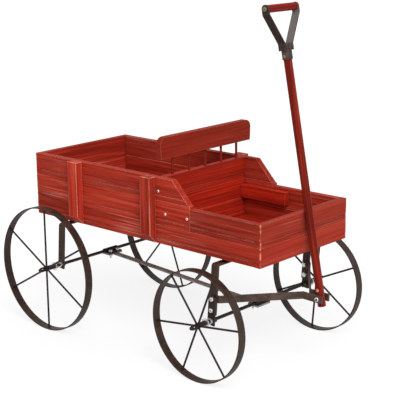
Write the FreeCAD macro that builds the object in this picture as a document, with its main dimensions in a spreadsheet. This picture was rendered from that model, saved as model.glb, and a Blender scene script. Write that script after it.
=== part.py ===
import FreeCAD, Part
import Sketcher
import os
import re

# A small four-wheeled garden cart: a stepped planter box of beaded boards, a rail on five
# spindles, four spoked steel wheels on two through axles, and a pull handle with a D grip.
#
# +X points to the handle end, +Y to the cart's left, +Z up. The origin is on the ground, in the
# middle of the cart's length and width. Lengths are millimetres, angles are degrees.

Vector = FreeCAD.Vector
ALONG_Y = FreeCAD.Rotation(Vector(1, 0, 0), -90)
AGAINST_Y = FreeCAD.Rotation(Vector(1, 0, 0), 90)
UPSIDE_DOWN = FreeCAD.Rotation(Vector(1, 0, 0), 180)
LEFT, RIGHT = 1, -1
SIDES = (("left", LEFT), ("right", RIGHT))

# name, value, what it measures
DRIVING_SIZES = (
    # planter box
    ("box_length", 547, "tail face to front face"),
    ("box_width", 234, "outside of one side to the outside of the other"),
    ("box_bottom", 203, "ground to the underside of the box"),
    ("board_thick", 11, "thickness of every wall board"),
    ("bottom_board", 34, "height of the lowest boards"),
    ("middle_board", 43.5, "height of the middle boards"),
    ("top_board", 39.5, "height of the top boards"),
    ("front_board", 38.5, "height of the upper boards of the low box"),
    ("bead_rise", 9, "bead groove above a board's lower edge"),
    ("groove_width", 2, "mouth of the bead groove"),
    ("groove_deep", 1.2, "depth of the bead groove"),
    ("eased_edge", 0.8, "chamfer on a board's long edges"),
    ("partition_at", 326.5, "tail face to the front face of the partition"),
    ("slope_start", 353.5, "tail face to the top of the sloped arm"),
    ("slope_foot", 391, "tail face to the foot of the sloped arm"),
    ("seam_at", 394, "tail face to the seam between tall and low sides"),
    # battens
    ("batten_width", 23, "width along the side"),
    ("batten_thick", 14.5, "how far a batten stands out"),
    ("rear_batten_at", 116.5, "tail face to the middle of the rear battens"),
    ("front_batten_at", 302.5, "tail face to the middle of the front battens"),
    # floor
    ("floor_thick", 8, "thickness of the floor slats"),
    ("slat_gap", 6, "drain gap between floor slats"),
    ("dado_deep", 2, "depth of the groove across the slats that the partition stands in"),
    ("cleat_thick", 6.4, "thickness of the cross cleats under the floor"),
    ("cleat_width", 30, "width of the cross cleats"),
    ("cleat_length", 200, "length of the cross cleats"),
    ("splice_length", 104, "length of the cleat inside each side seam"),
    ("splice_height", 24, "height of the splice cleat"),
    ("splice_thick", 12, "thickness of the splice cleat"),
    ("splice_rise", 55, "middle of the splice cleat above the underside of the box"),
    # rail and spindles
    ("rail_length", 234, "length of the rail's underside"),
    ("rail_flare", 2, "how much further each end of the rail reaches at its top"),
    ("rail_shift", 4, "middle of the rail and its spindles left of the centre plane"),
    ("rail_height", 38, "height of the rail"),
    ("rail_thick", 11, "thickness of the rail"),
    ("rail_corner", 13, "radius of the rail's top corners"),
    ("rail_gap", 30, "top of the partition to the underside of the rail"),
    ("spindle_radius", 2.3, "radius of a spindle"),
    ("spindle_pitch", 42.2, "spacing of the spindles"),
    ("spindle_seat", 8, "depth that a spindle goes into the wood"),
    # wheels and axles
    ("wheelbase", 380, "rear axle to front axle"),
    ("rear_setback", 72, "tail face to the rear axle"),
    ("rear_radius", 117, "outer radius of a rear wheel"),
    ("front_radius", 96.5, "outer radius of a front wheel"),
    ("rim_width", 15, "width of a rim"),
    ("rim_thick", 2.2, "thickness of a rim"),
    ("spoke_radius", 1.8, "radius of a spoke"),
    ("hub_radius", 4.5, "outer radius of a hub"),
    ("hub_length", 30, "length of a hub"),
    ("hub_inset", 3, "middle of a hub inboard of the middle of its rim"),
    ("axle_radius", 3, "radius of an axle"),
    ("running_fit", 0.1, "radial clearance of a bore that turns"),
    ("fixed_fit", 0.05, "radial clearance of a bore that does not turn"),
    ("end_play", 0.3, "hub to washer, each side"),
    ("washer_radius", 8, "outer radius of a hub washer"),
    ("washer_thick", 1.2, "thickness of a hub washer"),
    ("axle_nut_radius", 5.8, "axle nut across corners, halved"),
    ("axle_nut_high", 4.6, "height of an axle nut"),
    ("lock_nut_gap", 3.3, "outer lock nut of a strap to the nut inside the wheel"),
    ("end_washer_radius", 4.4, "outer radius of the washer outside a hub"),
    ("pin_radius", 0.8, "radius of the split pin that keeps a wheel on"),
    ("pin_length", 14, "length of that pin"),
    ("pin_turn", 60, "lean of that pin from upright"),
    ("axle_end", 2.8, "axle beyond the middle of that pin"),
    ("rear_left_phase", 50, "angle of a spoke of that wheel above +X"),
    ("rear_right_phase", 30, "angle of a spoke of that wheel above +X"),
    ("front_left_phase", 25, "angle of a spoke of that wheel above +X"),
    ("front_right_phase", 7.5, "angle of a spoke of that wheel above +X"),
    # hanger straps and axle plates
    ("strap_stand_off", 11, "outside of the box to the outer face of a strap"),
    ("strap_width", 15, "width of a strap"),
    ("strap_thick", 3, "thickness of straps and axle plates"),
    ("strap_lean", 4.5, "lean of a strap, foot to the rear"),
    ("foot_reach", 8, "square foot of a strap or plate beyond its lowest hole"),
    ("flange_length", 44, "bent top of a strap, from its outer face"),
    ("bend_radius", 4.5, "outside radius of the bend"),
    ("bolt_radius", 2.5, "radius of the plate, pivot and grip bolts"),
    ("low_bolt_rise", 18.6, "front axle to the lower bolt of an axle plate"),
    ("bolt_pitch", 20, "upper to lower bolt of an axle plate"),
    ("bolt_head_radius", 4, "head radius of those bolts"),
    ("bolt_head_high", 2.6, "head height of those bolts"),
    ("bolt_nut_radius", 4.6, "nut across corners, halved"),
    ("bolt_nut_high", 3.6, "height of a nut"),
    ("bolt_end", 2, "bolt beyond its nut"),
    # reach beam and saddles
    ("beam_width", 11, "width of the reach beam"),
    ("beam_thick", 3, "thickness of the reach beam and its end plates"),
    ("clamp_length", 34, "length of an end plate and its saddle along the axle"),
    ("clamp_ahead", 15, "end plate inboard of the axle"),
    ("clamp_behind", 8, "end plate outboard of the axle"),
    ("saddle_thick", 2, "thickness of a saddle"),
    ("clamp_bolt_at", 10, "axle to the clamp bolts"),
    ("clamp_bolt_half", 9.2, "centre plane to a clamp bolt"),
    ("clamp_bolt_radius", 2, "radius of a clamp bolt"),
    ("clamp_nut_radius", 3.8, "clamp nut across corners, halved"),
    ("clamp_nut_high", 3, "height of a clamp nut and bolt head"),
    ("clamp_bolt_end", 4, "clamp bolt beyond its nut"),
    # drawbar arms
    ("pivot_ahead", 34.6, "front face of the box to the handle pivot"),
    ("pivot_height", 132, "ground to the handle pivot"),
    ("arm_height", 12.5, "height of an arm plate"),
    ("arm_thick", 3, "thickness of an arm plate"),
    ("arm_gap", 1, "pole to the arm plate, each side"),
    ("arm_end", 10, "arm beyond the pivot"),
    ("arm_front_run", 30, "straight front run of an arm, behind the pivot"),
    ("arm_rear_run", 9, "straight rear run of an arm, ahead of its bolt"),
    # handle
    ("pole_radius", 7, "radius of the pole"),
    ("pole_foot", 14.8, "pole below the pivot"),
    ("pole_chamfer", 1, "chamfer at the foot of the pole"),
    ("lean_gap", 0.3, "pole to the front board that it leans on"),
    ("socket_top", 425.5, "pivot to the upper end of the socket"),
    ("socket_length", 27, "length of the socket"),
    ("socket_wall", 1.65, "wall of the socket"),
    ("pole_short", 3, "upper end of the pole below that of the socket"),
    ("yoke_rise", 48.5, "upper end of the socket to the upper bend of a grip strap"),
    ("grip_rise", 9, "upper bend of a grip strap to the axis of the grip"),
    ("grip_radius", 6.5, "radius of the grip"),
    ("grip_half", 37.5, "half of the grip's length"),
    ("yoke_width", 14.2, "width of a grip strap"),
    ("yoke_thick", 2.5, "thickness of a grip strap"),
    ("yoke_tab", 12, "length of a grip strap along the socket"),
)

doc = FreeCAD.newDocument("flower_cart")
sheet = doc.addObject("Spreadsheet::Sheet", "Sizes")
for row, (name, amount, meaning) in enumerate(DRIVING_SIZES, start=1):
    sheet.set(f"A{row}", name)
    sheet.set(f"B{row}", str(amount))
    sheet.setAlias(f"B{row}", name)
    sheet.set(f"C{row}", meaning)
doc.recompute()

SIZE_NAMES = {name for name, amount, meaning in DRIVING_SIZES}

# Places and sizes worked out from the driving ones.
TAIL_X = "(-(box_length + pivot_ahead + arm_end + rear_setback - rear_radius) / 2)"
FRONT_X = f"({TAIL_X} + box_length)"
REAR_AXLE_X = f"({TAIL_X} + rear_setback)"
FRONT_AXLE_X = f"({REAR_AXLE_X} + wheelbase)"
PIVOT_X = f"({FRONT_X} + pivot_ahead)"
PARTITION_X = f"({TAIL_X} + partition_at)"
INNER_HALF = "(box_width / 2 - board_thick)"
INNER_LENGTH = "(box_length - 2 * board_thick)"
TALL_TOP = "(box_bottom + bottom_board + middle_board + top_board)"
LOW_TOP = "(box_bottom + bottom_board + front_board)"
FLOOR_TOP = "(box_bottom + floor_thick)"
FLANGE_TOP = "(box_bottom - cleat_thick)"
STRAP_OUT = "(box_width / 2 + strap_stand_off)"
WASHER_IN = f"({STRAP_OUT} + strap_thick + 2 * axle_nut_high + lock_nut_gap)"
HUB_IN = f"({WASHER_IN} + washer_thick + end_play)"
HUB_OUT = f"({HUB_IN} + hub_length)"
TRACK_HALF = f"({HUB_IN} + hub_length / 2 + hub_inset)"
PIN_AT = f"({HUB_OUT} + end_play + washer_thick + pin_radius + fixed_fit)"
AXLE_HALF = f"({PIN_AT} + axle_end)"
LOW_BOLT_Z = "(front_radius + low_bolt_rise)"
TOP_BOLT_Z = f"({LOW_BOLT_Z} + bolt_pitch)"
TOP_BOLT_X = f"({FRONT_AXLE_X} + ({TOP_BOLT_Z} - front_radius) * tan(strap_lean))"
LOW_BOLT_X = f"({FRONT_AXLE_X} + ({LOW_BOLT_Z} - front_radius) * tan(strap_lean))"
ARM_RUN = f"({PIVOT_X} - {TOP_BOLT_X})"
ARM_RISE = f"({TOP_BOLT_Z} - pivot_height)"
ARM_SPAN = f"sqrt({ARM_RUN} ^ 2 + {ARM_RISE} ^ 2)"
ARM_DROP = f"atan({ARM_RISE} / {ARM_RUN})"
SOCKET_RADIUS = "(pole_radius + fixed_fit + socket_wall)"
SOCKET_FOOT = "(socket_top - socket_length)"
YOKE_BEND = "(socket_top + yoke_rise)"
GRIP_AT = f"({YOKE_BEND} + grip_rise)"
BOARD_ABOVE_PIVOT = f"({LOW_TOP} - pivot_height)"
LEAN = (
    f"(atan(pivot_ahead / {BOARD_ABOVE_PIVOT})"
    f" - asin((pole_radius + lean_gap) / sqrt(pivot_ahead ^ 2 + {BOARD_ABOVE_PIVOT} ^ 2)))"
)

nodes = []


def formula(text):
    """Turns the bare size names of a formula into references to the sheet."""
    return re.sub(
        r"[a-z][a-z_]*",
        lambda word: f"Sizes.{word.group()}" if word.group() in SIZE_NAMES else word.group(),
        str(text),
    )


def measure(text):
    """The present value of a formula."""
    return float(FreeCAD.Units.Quantity(str(sheet.evalExpression(formula(text)))).Value)


def bind(item, **formulas):
    for prop, text in formulas.items():
        item.setExpression(prop, formula(text))
    return item


def place(item, x=0, y=0, z=0, turn=None):
    """Sets where an item's own origin goes, and how it is turned about it."""
    item.Placement = FreeCAD.Placement(Vector(), turn or FreeCAD.Rotation())
    for axis, text in zip("xyz", (x, y, z)):
        item.setExpression(f"Placement.Base.{axis}", formula(text))
    return item


def tilt(item, axis, angle):
    """Turns a placed item about an axis by a formula in degrees."""
    item.Placement = FreeCAD.Placement(item.Placement.Base, FreeCAD.Rotation(axis, 1))
    item.setExpression("Placement.Rotation.Angle", formula(angle))
    return item


def node(item, label):
    """Names a finished sub-part."""
    item.Label = label
    nodes.append(item)
    return item


# Solids


def block(name, length, width, height, x=0, y=0, z=0):
    item = doc.addObject("Part::Box", name)
    return place(bind(item, Length=length, Width=width, Height=height), x, y, z)


def rod(name, radius, length, x=0, y=0, z=0, turn=None):
    """A cylinder that starts at its origin and runs along +Z, or as it is turned."""
    item = doc.addObject("Part::Cylinder", name)
    return place(bind(item, Radius=radius, Height=length), x, y, z, turn)


def fuse(name, *items):
    item = doc.addObject("Part::MultiFuse", name)
    item.Shapes = list(items)
    return item


def shared(name, *items):
    item = doc.addObject("Part::MultiCommon", name)
    item.Shapes = list(items)
    return item


def cut(name, base, *tools):
    item = doc.addObject("Part::Cut", name)
    item.Base = base
    item.Tool = tools[0] if len(tools) == 1 else group(f"{name}_tools", tools)
    return item


def group(name, items):
    """Separate solids kept together."""
    item = doc.addObject("Part::Compound", name)
    item.Links = list(items)
    return item


# Sketched bodies


def new_body(name):
    return doc.addObject("PartDesign::Body", name)


def origin_feature(body, role):
    return next(item for item in body.Origin.OriginFeatures if item.Role == role)


def outline(body, name, plane, points):
    """A closed sketch of straight edges, each corner tied to its two formulas."""
    sketch = body.newObject("Sketcher::SketchObject", name)
    sketch.AttachmentSupport = [(origin_feature(body, plane), "")]
    sketch.MapMode = "FlatFace"
    corners = [Vector(measure(across), measure(up), 0) for across, up in points]
    count = len(corners)
    for index in range(count):
        sketch.addGeometry(Part.LineSegment(corners[index], corners[(index + 1) % count]))
    for index in range(count):
        sketch.addConstraint(Sketcher.Constraint("Coincident", index, 2, (index + 1) % count, 1))
    for index, (across, up) in enumerate(points):
        for kind, text in (("DistanceX", across), ("DistanceY", up)):
            tie = Sketcher.Constraint(kind, index, 1, measure(text))
            sketch.setExpression(f"Constraints[{sketch.addConstraint(tie)}]", formula(text))
    return sketch


def pad(body, sketch, length, symmetric=False, backwards=False):
    feature = body.newObject("PartDesign::Pad", f"{body.Name}_pad")
    feature.Profile = sketch
    if symmetric:
        feature.SideType = "Symmetric"
    feature.Reversed = backwards
    return bind(feature, Length=length)


def revolve(body, sketch, axis):
    feature = body.newObject("PartDesign::Revolution", f"{body.Name}_turning")
    feature.Profile = sketch
    feature.ReferenceAxis = (origin_feature(body, axis), [""])
    feature.Angle = 360
    return feature


def round_edges(body, radius, chosen):
    """Fillets the body's edges that run along X and whose ends all pass the test."""
    doc.recompute()
    solid = body.Tip
    picked = [
        f"Edge{index}"
        for index, edge in enumerate(solid.Shape.Edges, start=1)
        if edge.BoundBox.XLength > 1 and all(chosen(corner.Point) for corner in edge.Vertexes)
    ]
    feature = body.newObject("PartDesign::Fillet", f"{body.Name}_rounding")
    feature.Base = (solid, picked)
    return bind(feature, Radius=radius)


# Fasteners, each along +Z with its head below the origin


def plate_bolt(name, length):
    shank = rod(f"{name}_shank", "bolt_radius", length)
    head = doc.addObject("Part::Cone", f"{name}_head")
    bind(head, Radius1="bolt_head_radius * 0.7", Radius2="bolt_head_radius", Height="bolt_head_high")
    place(head, z="-bolt_head_high")
    return fuse(name, shank, head)


def nut(name, radius, height, bore):
    blank = doc.addObject("Part::Prism", f"{name}_blank")
    blank.Polygon = 6
    bind(blank, Circumradius=radius, Height=height)
    return cut(name, blank, rod(f"{name}_bore", bore, height))


def plate_nut(name):
    return nut(name, "bolt_nut_radius", "bolt_nut_high", "bolt_radius + fixed_fit")


# Planter box


def board(name, side, length, height):
    """A beaded board along +X, inner face at y = 0, outer face out to the given side."""
    body = new_body(name)
    face = f"{side} * board_thick"
    inset = f"{side} * (board_thick - eased_edge)"
    profile = (
        (0, 0),
        (inset, 0),
        (face, "eased_edge"),
        (face, "bead_rise - groove_width / 2"),
        (f"{side} * (board_thick - groove_deep)", "bead_rise"),
        (face, "bead_rise + groove_width / 2"),
        (face, f"{height} - eased_edge"),
        (inset, height),
        (0, height),
    )
    pad(body, outline(body, f"{name}_profile", "YZ_Plane", profile), length)
    return body


def side_boards(word, side):
    """The four boards of one side: the top one ends in a sloped arm."""
    start = f"({TAIL_X} + board_thick)"
    inside = f"{side} * {INNER_HALF}"

    bottom = board(f"{word}_bottom_board", side, INNER_LENGTH, "bottom_board")
    node(place(bottom, start, inside, "box_bottom"), f"{word}_bottom_board")

    middle = board(f"{word}_middle_board", side, "seam_at - board_thick", "middle_board")
    node(place(middle, start, inside, "box_bottom + bottom_board"), f"{word}_middle_board")

    top = board(f"{word}_top_board", side, "slope_foot - board_thick", "top_board")
    slope_top = "slope_start - board_thick"
    slope_foot = "slope_foot - board_thick"
    beyond = f"{slope_foot} + 1"
    corner = ((slope_top, "top_board"), (slope_foot, 0), (beyond, 0), (beyond, "top_board + 1"),
              (slope_top, "top_board + 1"))
    slope = top.newObject("PartDesign::Pocket", f"{word}_slope")
    slope.Profile = outline(top, f"{word}_slope_outline", "XZ_Plane", corner)
    slope.Type = "ThroughAll"
    slope.SideType = "Symmetric"
    node(place(top, start, inside, f"{TALL_TOP} - top_board"), f"{word}_top_board")

    low_length = "box_length - board_thick - seam_at"
    low = board(f"{word}_low_board", side, low_length, "front_board")
    place(low, f"{TAIL_X} + seam_at", inside, "box_bottom + bottom_board")
    node(low, f"{word}_low_board")


def end_boards():
    """Tail and front boards cover the ends of the sides."""
    heights = (("bottom", "bottom_board", "box_bottom"),
               ("middle", "middle_board", "box_bottom + bottom_board"),
               ("top", "top_board", f"{TALL_TOP} - top_board"))
    facing_back = FreeCAD.Rotation(Vector(0, 0, 1), 90)
    for word, height, level in heights:
        tail = board(f"tail_{word}_board", LEFT, "box_width", height)
        place(tail, f"{TAIL_X} + board_thick", "-box_width / 2", level, facing_back)
        node(tail, f"tail_{word}_board")
    facing_front = FreeCAD.Rotation(Vector(0, 0, 1), -90)
    for word, height, level in (("bottom", "bottom_board", "box_bottom"),
                                ("top", "front_board", "box_bottom + bottom_board")):
        front = board(f"front_{word}_board", LEFT, "box_width", height)
        place(front, f"{FRONT_X} - board_thick", "box_width / 2", level, facing_front)
        node(front, f"front_{word}_board")


def spindle_row(name, radius, length, level):
    """Five upright cylinders in the middle of the partition's thickness."""
    return [
        rod(f"{name}_{number + 3}", radius, length, f"{PARTITION_X} - board_thick / 2",
            f"rail_shift + {number} * spindle_pitch", level)
        for number in range(-2, 3)
    ]


def partition_and_rail():
    """The wall between the boxes, which stands in the dado of the slats, and the rail above it."""
    facing_front = FreeCAD.Rotation(Vector(0, 0, 1), -90)
    back = f"{PARTITION_X} - board_thick"
    wide = f"2 * {INNER_HALF}"

    bottom = board("partition_bottom_board", LEFT, wide, "bottom_board - floor_thick + dado_deep")
    place(bottom, back, INNER_HALF, f"{FLOOR_TOP} - dado_deep", facing_front)
    node(bottom, "partition_bottom_board")

    middle = board("partition_middle_board", LEFT, wide, "middle_board")
    place(middle, back, INNER_HALF, "box_bottom + bottom_board", facing_front)
    node(middle, "partition_middle_board")

    top = board("partition_top_blank", LEFT, wide, "top_board")
    place(top, back, INNER_HALF, f"{TALL_TOP} - top_board", facing_front)
    seat_radius = "spindle_radius + fixed_fit"
    seats = spindle_row("partition_seat", seat_radius, "spindle_seat", f"{TALL_TOP} - spindle_seat")
    node(cut("partition_top_drilled", top, *seats), "partition_top_board")

    rail = new_body("rail_blank")
    half = "rail_length / 2"
    wide = f"({half} + rail_flare)"
    shape = ((f"-{half}", 0), (half, 0), (wide, "rail_height"), (f"-{wide}", "rail_height"))
    pad(rail, outline(rail, "rail_outline", "YZ_Plane", shape), "rail_thick")
    reach, tall = measure(wide), measure("rail_height")
    round_edges(rail, "rail_corner",
                lambda spot: abs(abs(spot.y) - reach) < 0.01 and abs(spot.z - tall) < 0.01)
    underside = f"({TALL_TOP} + rail_gap)"
    place(rail, f"{PARTITION_X} - board_thick / 2 - rail_thick / 2", "rail_shift", underside)
    seats = spindle_row("rail_seat", seat_radius, "spindle_seat", underside)
    node(cut("rail_drilled", rail, *seats), "rail")

    spindles = spindle_row("spindle", "spindle_radius", "rail_gap + 2 * spindle_seat",
                           f"{TALL_TOP} - spindle_seat")
    node(group("spindle_group", spindles), "spindles")


def battens():
    """Upright battens on the sides, their feet bevelled back to the wall."""
    for word, side in SIDES:
        for end in ("rear", "front"):
            name = f"{end}_{word}_batten"
            body = new_body(name)
            out = f"{side} * batten_thick"
            tall = f"{TALL_TOP} - box_bottom"
            profile = ((0, 0), (out, "batten_thick"), (out, tall), (0, tall))
            pad(body, outline(body, f"{name}_profile", "YZ_Plane", profile), "batten_width")
            place(body, f"{TAIL_X} + {end}_batten_at - batten_width / 2", f"{side} * box_width / 2",
                  "box_bottom")
            node(body, name)


def floor():
    """Four lengthwise slats with drain gaps, a dado across them, and two cross cleats below."""
    pitch = f"((2 * {INNER_HALF} + slat_gap) / 4)"
    slats = [
        block(f"slat_{number + 1}", INNER_LENGTH, f"{pitch} - slat_gap", "floor_thick",
              f"{TAIL_X} + board_thick", f"{number} * {pitch} - {INNER_HALF}", "box_bottom")
        for number in range(4)
    ]
    dado = block("dado", "board_thick", f"2 * {INNER_HALF}", "dado_deep", f"{PARTITION_X} - board_thick",
                 f"-{INNER_HALF}", f"{FLOOR_TOP} - dado_deep")
    node(cut("slats_with_dado", group("slat_group", slats), dado), "floor_slats")
    cleats = []
    for end, axle_x, radius in (("rear", REAR_AXLE_X, "rear_radius"),
                                ("front", FRONT_AXLE_X, "front_radius")):
        middle = f"({axle_x} + ({FLANGE_TOP} - {radius}) * tan(strap_lean))"
        cleats.append(block(f"{end}_cleat", "cleat_width", "cleat_length", "cleat_thick",
                            f"{middle} - cleat_width / 2", "-cleat_length / 2", FLANGE_TOP))
    node(group("cross_cleat_group", cleats), "cross_cleats")


def splice_cleats():
    """The cleat inside each seam between the tall and the low side."""
    cleats = []
    for word, side in SIDES:
        near = f"{side} * {INNER_HALF} - {'splice_thick' if side == LEFT else 0}"
        cleats.append(block(f"{word}_splice", "splice_length", "splice_thick", "splice_height",
                            PARTITION_X, near, "box_bottom + splice_rise - splice_height / 2"))
    node(group("splice_group", cleats), "splice_cleats")


# Wheels


def wheel(word, radius, axle_x, side, phase):
    """A hoop rim, and a hub with six spokes welded to it, round the wheel's own Y axis."""
    rim = new_body(f"{word}_rim")
    half = "rim_width / 2"
    inner = f"{radius} - rim_thick"
    hoop = ((f"-{half}", inner), (half, inner), (half, radius), (f"-{half}", radius))
    revolve(rim, outline(rim, f"{word}_rim_profile", "YZ_Plane", hoop), "Y_Axis")
    node(place(rim, axle_x, f"{side} * {TRACK_HALF}", radius), f"{word}_rim")

    start = f"-(hub_length / 2 + {side} * hub_inset)"
    tube = rod(f"{word}_hub", "hub_radius", "hub_length", y=start, turn=ALONG_Y)
    bore = rod(f"{word}_bore", "axle_radius + running_fit", "hub_length", y=start, turn=ALONG_Y)
    spokes = []
    for number in range(6):
        spoke = doc.addObject("Part::Prism", f"{word}_spoke_{number + 1}")
        spoke.Polygon = 12
        bind(spoke, Circumradius="spoke_radius", Height=radius)
        spokes.append(tilt(spoke, Vector(0, 1, 0), f"90 - {phase} + {60 * number}"))
    inside = rod(f"{word}_rim_inside", inner, "rim_width", y=f"-{half}", turn=ALONG_Y)
    trimmed = shared(f"{word}_trimmed_star", fuse(f"{word}_star", *spokes), inside)
    spider = cut(f"{word}_bored", fuse(f"{word}_welded", tube, trimmed), bore)
    node(place(spider, axle_x, f"{side} * {TRACK_HALF}", radius), f"{word}_hub_and_spokes")


def wheels():
    for end, axle_x in (("rear", REAR_AXLE_X), ("front", FRONT_AXLE_X)):
        for word, side in SIDES:
            wheel(f"{end}_{word}", f"{end}_radius", axle_x, side, f"{end}_{word}_phase")


def split_pin(name, radius, axle_x, y, level):
    """A pin across an axle, leaning in the plane of the wheel."""
    half = "pin_length / 2"
    pin = rod(name, radius, "pin_length", f"{axle_x} - {half} * sin(pin_turn)", y,
              f"{level} - {half} * cos(pin_turn)")
    return tilt(pin, Vector(0, 1, 0), "pin_turn")


def axles():
    """Through rods, the nuts that lock them to the straps, and the pins that keep the wheels on."""
    nuts, washers, pins = [], [], []
    bore = "axle_radius + fixed_fit"
    for end, axle_x, level, plate in (("rear", REAR_AXLE_X, "rear_radius", 0),
                                      ("front", FRONT_AXLE_X, "front_radius", "strap_thick")):
        axle = rod(f"{end}_axle_rod", "axle_radius", f"2 * {AXLE_HALF}", axle_x, f"-{AXLE_HALF}",
                   level, ALONG_Y)
        pin_holes = []
        nut_starts = (
            f"{STRAP_OUT} - strap_thick - axle_nut_high",
            f"{STRAP_OUT} + {plate}",
            f"{WASHER_IN} - axle_nut_high",
        )
        washer_starts = ((WASHER_IN, "washer_radius"), (f"{HUB_OUT} + end_play", "end_washer_radius"))
        for word, side in SIDES:
            outward = ALONG_Y if side == LEFT else AGAINST_Y
            for number, start in enumerate(nut_starts, start=1):
                item = nut(f"{end}_{word}_nut_{number}", "axle_nut_radius", "axle_nut_high", bore)
                nuts.append(place(item, axle_x, f"{side} * ({start})", level, outward))
            for number, (start, radius) in enumerate(washer_starts, start=1):
                name = f"{end}_{word}_washer_{number}"
                item = cut(name, rod(f"{name}_disc", radius, "washer_thick"),
                           rod(f"{name}_bore", bore, "washer_thick"))
                washers.append(place(item, axle_x, f"{side} * ({start})", level, outward))
            across = (axle_x, f"{side} * {PIN_AT}", level)
            pins.append(split_pin(f"{end}_{word}_pin", "pin_radius", *across))
            pin_holes.append(split_pin(f"{end}_{word}_pin_hole", "pin_radius + fixed_fit", *across))
        node(cut(f"{end}_axle_drilled", axle, *pin_holes), f"{end}_axle")
    node(group("axle_nut_group", nuts), "axle_nuts")
    node(group("washer_group", washers), "hub_washers")
    node(group("pin_group", pins), "split_pins")


# Hangers


def square_foot(foot):
    """The lower corners of a leaning bar in its side view, ahead of and behind its middle line."""
    half = "strap_width / 2"
    middle = f"{foot} * tan(strap_lean)"
    ahead = (f"{middle} + {half} * cos(strap_lean)", f"{foot} - {half} * sin(strap_lean)")
    behind = (f"{middle} - {half} * cos(strap_lean)", f"{foot} + {half} * sin(strap_lean)")
    return ahead, behind


def strap(name, side, radius, foot):
    """A flat bar bent under the box, which leans in the plane of the side."""
    body = new_body(f"{name}_bar")
    top = f"({FLANGE_TOP} - {radius})"
    thick = f"{side} * strap_thick"
    flange = f"{side} * flange_length"
    low = f"({foot} - strap_width / 2)"
    section = ((0, low), (f"-({thick})", low), (f"-({thick})", f"{top} - strap_thick"),
               (f"-({flange})", f"{top} - strap_thick"), (f"-({flange})", top), (0, top))
    wide = f"2 * strap_width + 2 * {top} * tan(strap_lean)"
    pad(body, outline(body, f"{name}_section", "YZ_Plane", section), wide, symmetric=True)
    crown = measure(top)
    round_edges(body, "bend_radius", lambda spot: abs(spot.y) < 0.01 and abs(spot.z - crown) < 0.01)

    face = new_body(f"{name}_face")
    ahead, behind = square_foot(foot)
    middle = f"{top} * tan(strap_lean)"
    half = "strap_width / 2 / cos(strap_lean)"
    side_view = (behind, ahead, (f"{middle} + {half}", top), (f"{middle} - {half}", top))
    pad(face, outline(face, f"{name}_side_view", "XZ_Plane", side_view), "2 * flange_length",
        symmetric=True)
    return shared(f"{name}_blank", body, face)


def bore_through(name, radius, x, z):
    """A hole along Y through a strap, plate or arm at the middle of its own frame."""
    return rod(name, radius, "4 * strap_thick", x, "-2 * strap_thick", z, ALONG_Y)


def hangers():
    """The rear straps take the axle; the front ones are bolted to an axle plate outside them."""
    slope = "tan(strap_lean)"
    low_rise = f"({LOW_BOLT_Z} - front_radius)"
    for end, axle_x, radius, foot in (("rear", REAR_AXLE_X, "rear_radius", "(-foot_reach)"),
                                      ("front", FRONT_AXLE_X, "front_radius",
                                       f"({low_rise} - foot_reach)")):
        for word, side in SIDES:
            name = f"{end}_{word}_hanger"
            blank = strap(name, side, radius, foot)
            if end == "rear":
                holes = [bore_through(f"{name}_axle_hole", "axle_radius + fixed_fit", 0, 0)]
            else:
                holes = [
                    bore_through(f"{name}_{level_word}_hole", "bolt_radius + fixed_fit",
                                 f"{rise} * {slope}", rise)
                    for level_word, rise in (("low", low_rise), ("top", f"({low_rise} + bolt_pitch)"))
                ]
            item = cut(f"{name}_drilled", blank, *holes)
            node(place(item, axle_x, f"{side} * {STRAP_OUT}", radius), name)


def axle_plates():
    """A plate from the axle up to the top bolt, outside each front strap: square foot, round top."""
    slope = "tan(strap_lean)"
    rise = f"({TOP_BOLT_Z} - front_radius)"
    low_rise = f"({LOW_BOLT_Z} - front_radius)"
    half = "strap_width / 2"
    for word, side in SIDES:
        name = f"{word}_axle_plate"
        body = new_body(f"{name}_middle")
        ahead, behind = square_foot("(-foot_reach)")
        over, under = f"{half} * cos(strap_lean)", f"{half} * sin(strap_lean)"
        sides = (behind, ahead, (f"{rise} * {slope} + {over}", f"{rise} - {under}"),
                 (f"{rise} * {slope} - {over}", f"{rise} + {under}"))
        pad(body, outline(body, f"{name}_outline", "XZ_Plane", sides), "strap_thick",
            backwards=side == LEFT)
        outward = ALONG_Y if side == LEFT else AGAINST_Y
        crown = rod(f"{name}_crown", half, "strap_thick", f"{rise} * {slope}", 0, rise, outward)
        bolt_hole = "bolt_radius + fixed_fit"
        holes = (
            bore_through(f"{name}_axle_hole", "axle_radius + fixed_fit", 0, 0),
            bore_through(f"{name}_top_hole", bolt_hole, f"{rise} * {slope}", rise),
            bore_through(f"{name}_low_hole", bolt_hole, f"{low_rise} * {slope}", low_rise),
        )
        item = cut(f"{name}_drilled", fuse(f"{name}_blank", body, crown), *holes)
        node(place(item, FRONT_AXLE_X, f"{side} * {STRAP_OUT}", "front_radius"), name)


def plate_bolts():
    """Bolts through plate and strap, the top ones through the arm too, with their nuts inside."""
    bolts = []
    head_side = f"({STRAP_OUT} + strap_thick)"
    for word, side in SIDES:
        inward = AGAINST_Y if side == LEFT else ALONG_Y
        for level_word, x, z, grip in (
            ("top", TOP_BOLT_X, TOP_BOLT_Z, "2 * strap_thick + arm_thick"),
            ("low", LOW_BOLT_X, LOW_BOLT_Z, "2 * strap_thick"),
        ):
            name = f"{word}_{level_word}_plate_bolt"
            bolt = plate_bolt(name, f"{grip} + bolt_nut_high + bolt_end")
            bolts.append(place(bolt, x, f"{side} * {head_side}", z, inward))
            item = plate_nut(f"{name}_nut")
            bolts.append(place(item, x, f"{side} * ({head_side} - ({grip}))", z, inward))
    node(group("plate_bolt_group", bolts), "plate_bolts")


# Reach beam


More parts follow.
